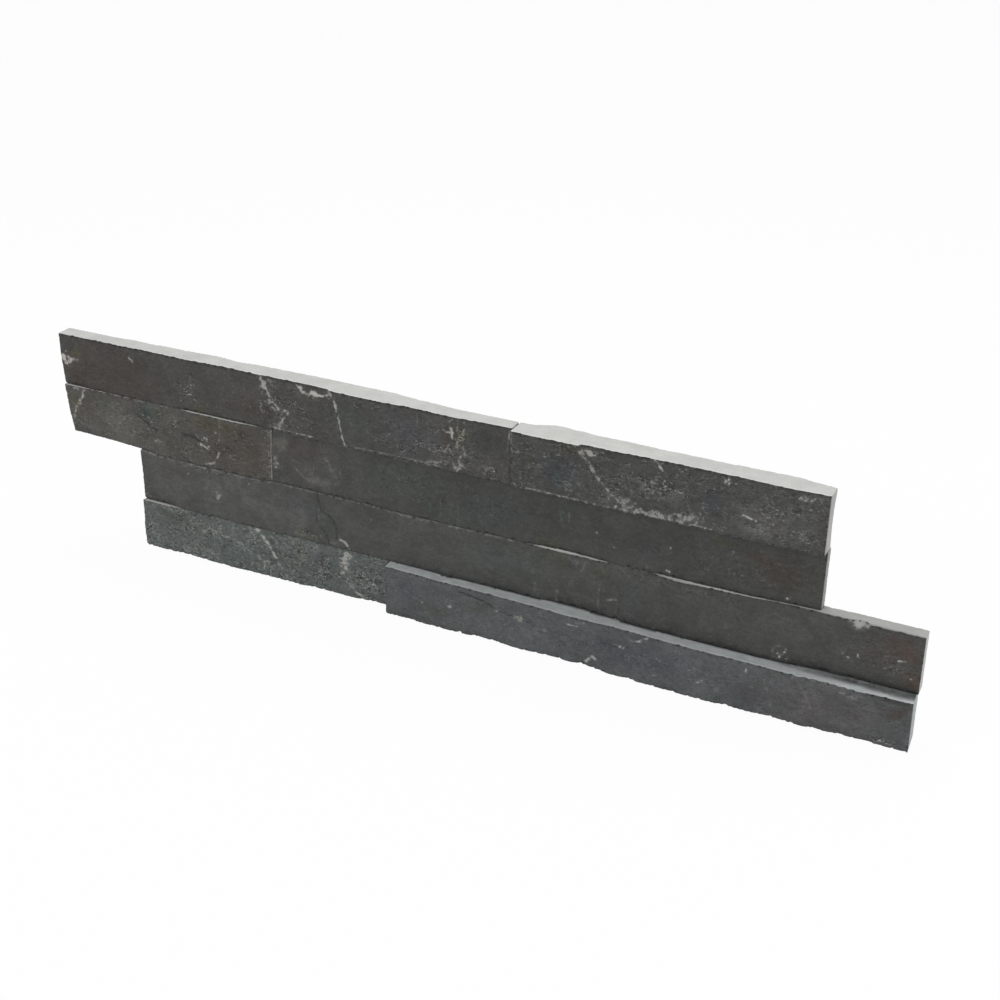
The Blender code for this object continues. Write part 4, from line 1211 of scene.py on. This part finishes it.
def make_floor():
    """A plain pale floor that keeps a soft shadow."""
    half = FLOOR_HALF
    level = (FLOOR_LEVEL - FLOOR_DROP) * MM
    corners = [(-half, -half, level), (half, -half, level), (half, half, level), (-half, half, level)]
    mesh = bpy.data.meshes.new("floor")
    mesh.from_pydata(corners, [], [(0, 1, 2, 3)])
    floor = add_object("floor", mesh)
    material = bpy.data.materials.new("pale_floor")
    material.use_nodes = True
    tree = material.node_tree
    tree.nodes.remove(tree.nodes["Principled BSDF"])
    matt = add_node(tree, "ShaderNodeBsdfDiffuse", {"Color": FLOOR_GREY}).outputs["BSDF"]
    glow = add_node(tree, "ShaderNodeEmission", {"Color": WHITE, "Strength": 1.0}).outputs["Emission"]
    share = calculate(tree, "MULTIPLY", seen_share(tree), FLOOR_GLOW)
    mixed = add_node(tree, "ShaderNodeMixShader", {0: share, 1: matt, 2: glow}).outputs[0]
    tree.links.new(mixed, tree.nodes["Material Output"].inputs["Surface"])
    mesh.materials.append(material)


def make_world():
    """White surroundings, which light the object less than they show."""
    world = bpy.data.worlds.new("studio")
    bpy.context.scene.world = world
    world.use_nodes = True
    tree = world.node_tree
    background = tree.nodes["Background"]
    background.inputs["Color"].default_value = WHITE
    shown = seen_share(tree)
    strength = remap(tree, shown, 0.0, 1.0, WORLD_STRENGTH, 1.0)
    tree.links.new(strength, background.inputs["Strength"])


def add_softbox(name, place, width, height, energy):
    light = bpy.data.lights.new(name, "AREA")
    light.shape = "RECTANGLE"
    light.size = width
    light.size_y = height
    light.energy = energy
    box = add_object(name, light)
    box.location = place
    box.rotation_euler = (Vector(LIGHT_TARGET) - Vector(place)).to_track_quat("-Z", "Y").to_euler()


def make_lights():
    make_world()
    for name, setup in SOFTBOXES.items():
        add_softbox(name, *setup)


def make_camera():
    """The camera of the photograph, placed by the angles that it was seen from."""
    azimuth = math.radians(CAMERA_AZIMUTH)
    elevation = math.radians(CAMERA_ELEVATION)
    roll = math.radians(CAMERA_ROLL)
    level = math.cos(elevation)
    back = Vector((math.sin(azimuth) * level, -math.cos(azimuth) * level, math.sin(elevation)))
    right = Vector((math.cos(azimuth), math.sin(azimuth), 0.0))
    up = back.cross(right)
    turned_right = right * math.cos(roll) + up * math.sin(roll)
    turned_up = up * math.cos(roll) - right * math.sin(roll)
    data = bpy.data.cameras.new("camera")
    data.lens = CAMERA_LENS
    data.sensor_width = CAMERA_SENSOR
    camera = add_object("camera", data)
    turn = Matrix((turned_right, turned_up, back)).transposed().to_4x4()
    camera.matrix_world = Matrix.Translation(CAMERA_PLACE) @ turn
    bpy.context.scene.camera = camera


make_camera()
make_floor()
make_lights()
make_stones()
finish_glue()
bpy.context.scene.view_settings.view_transform = "Standard"
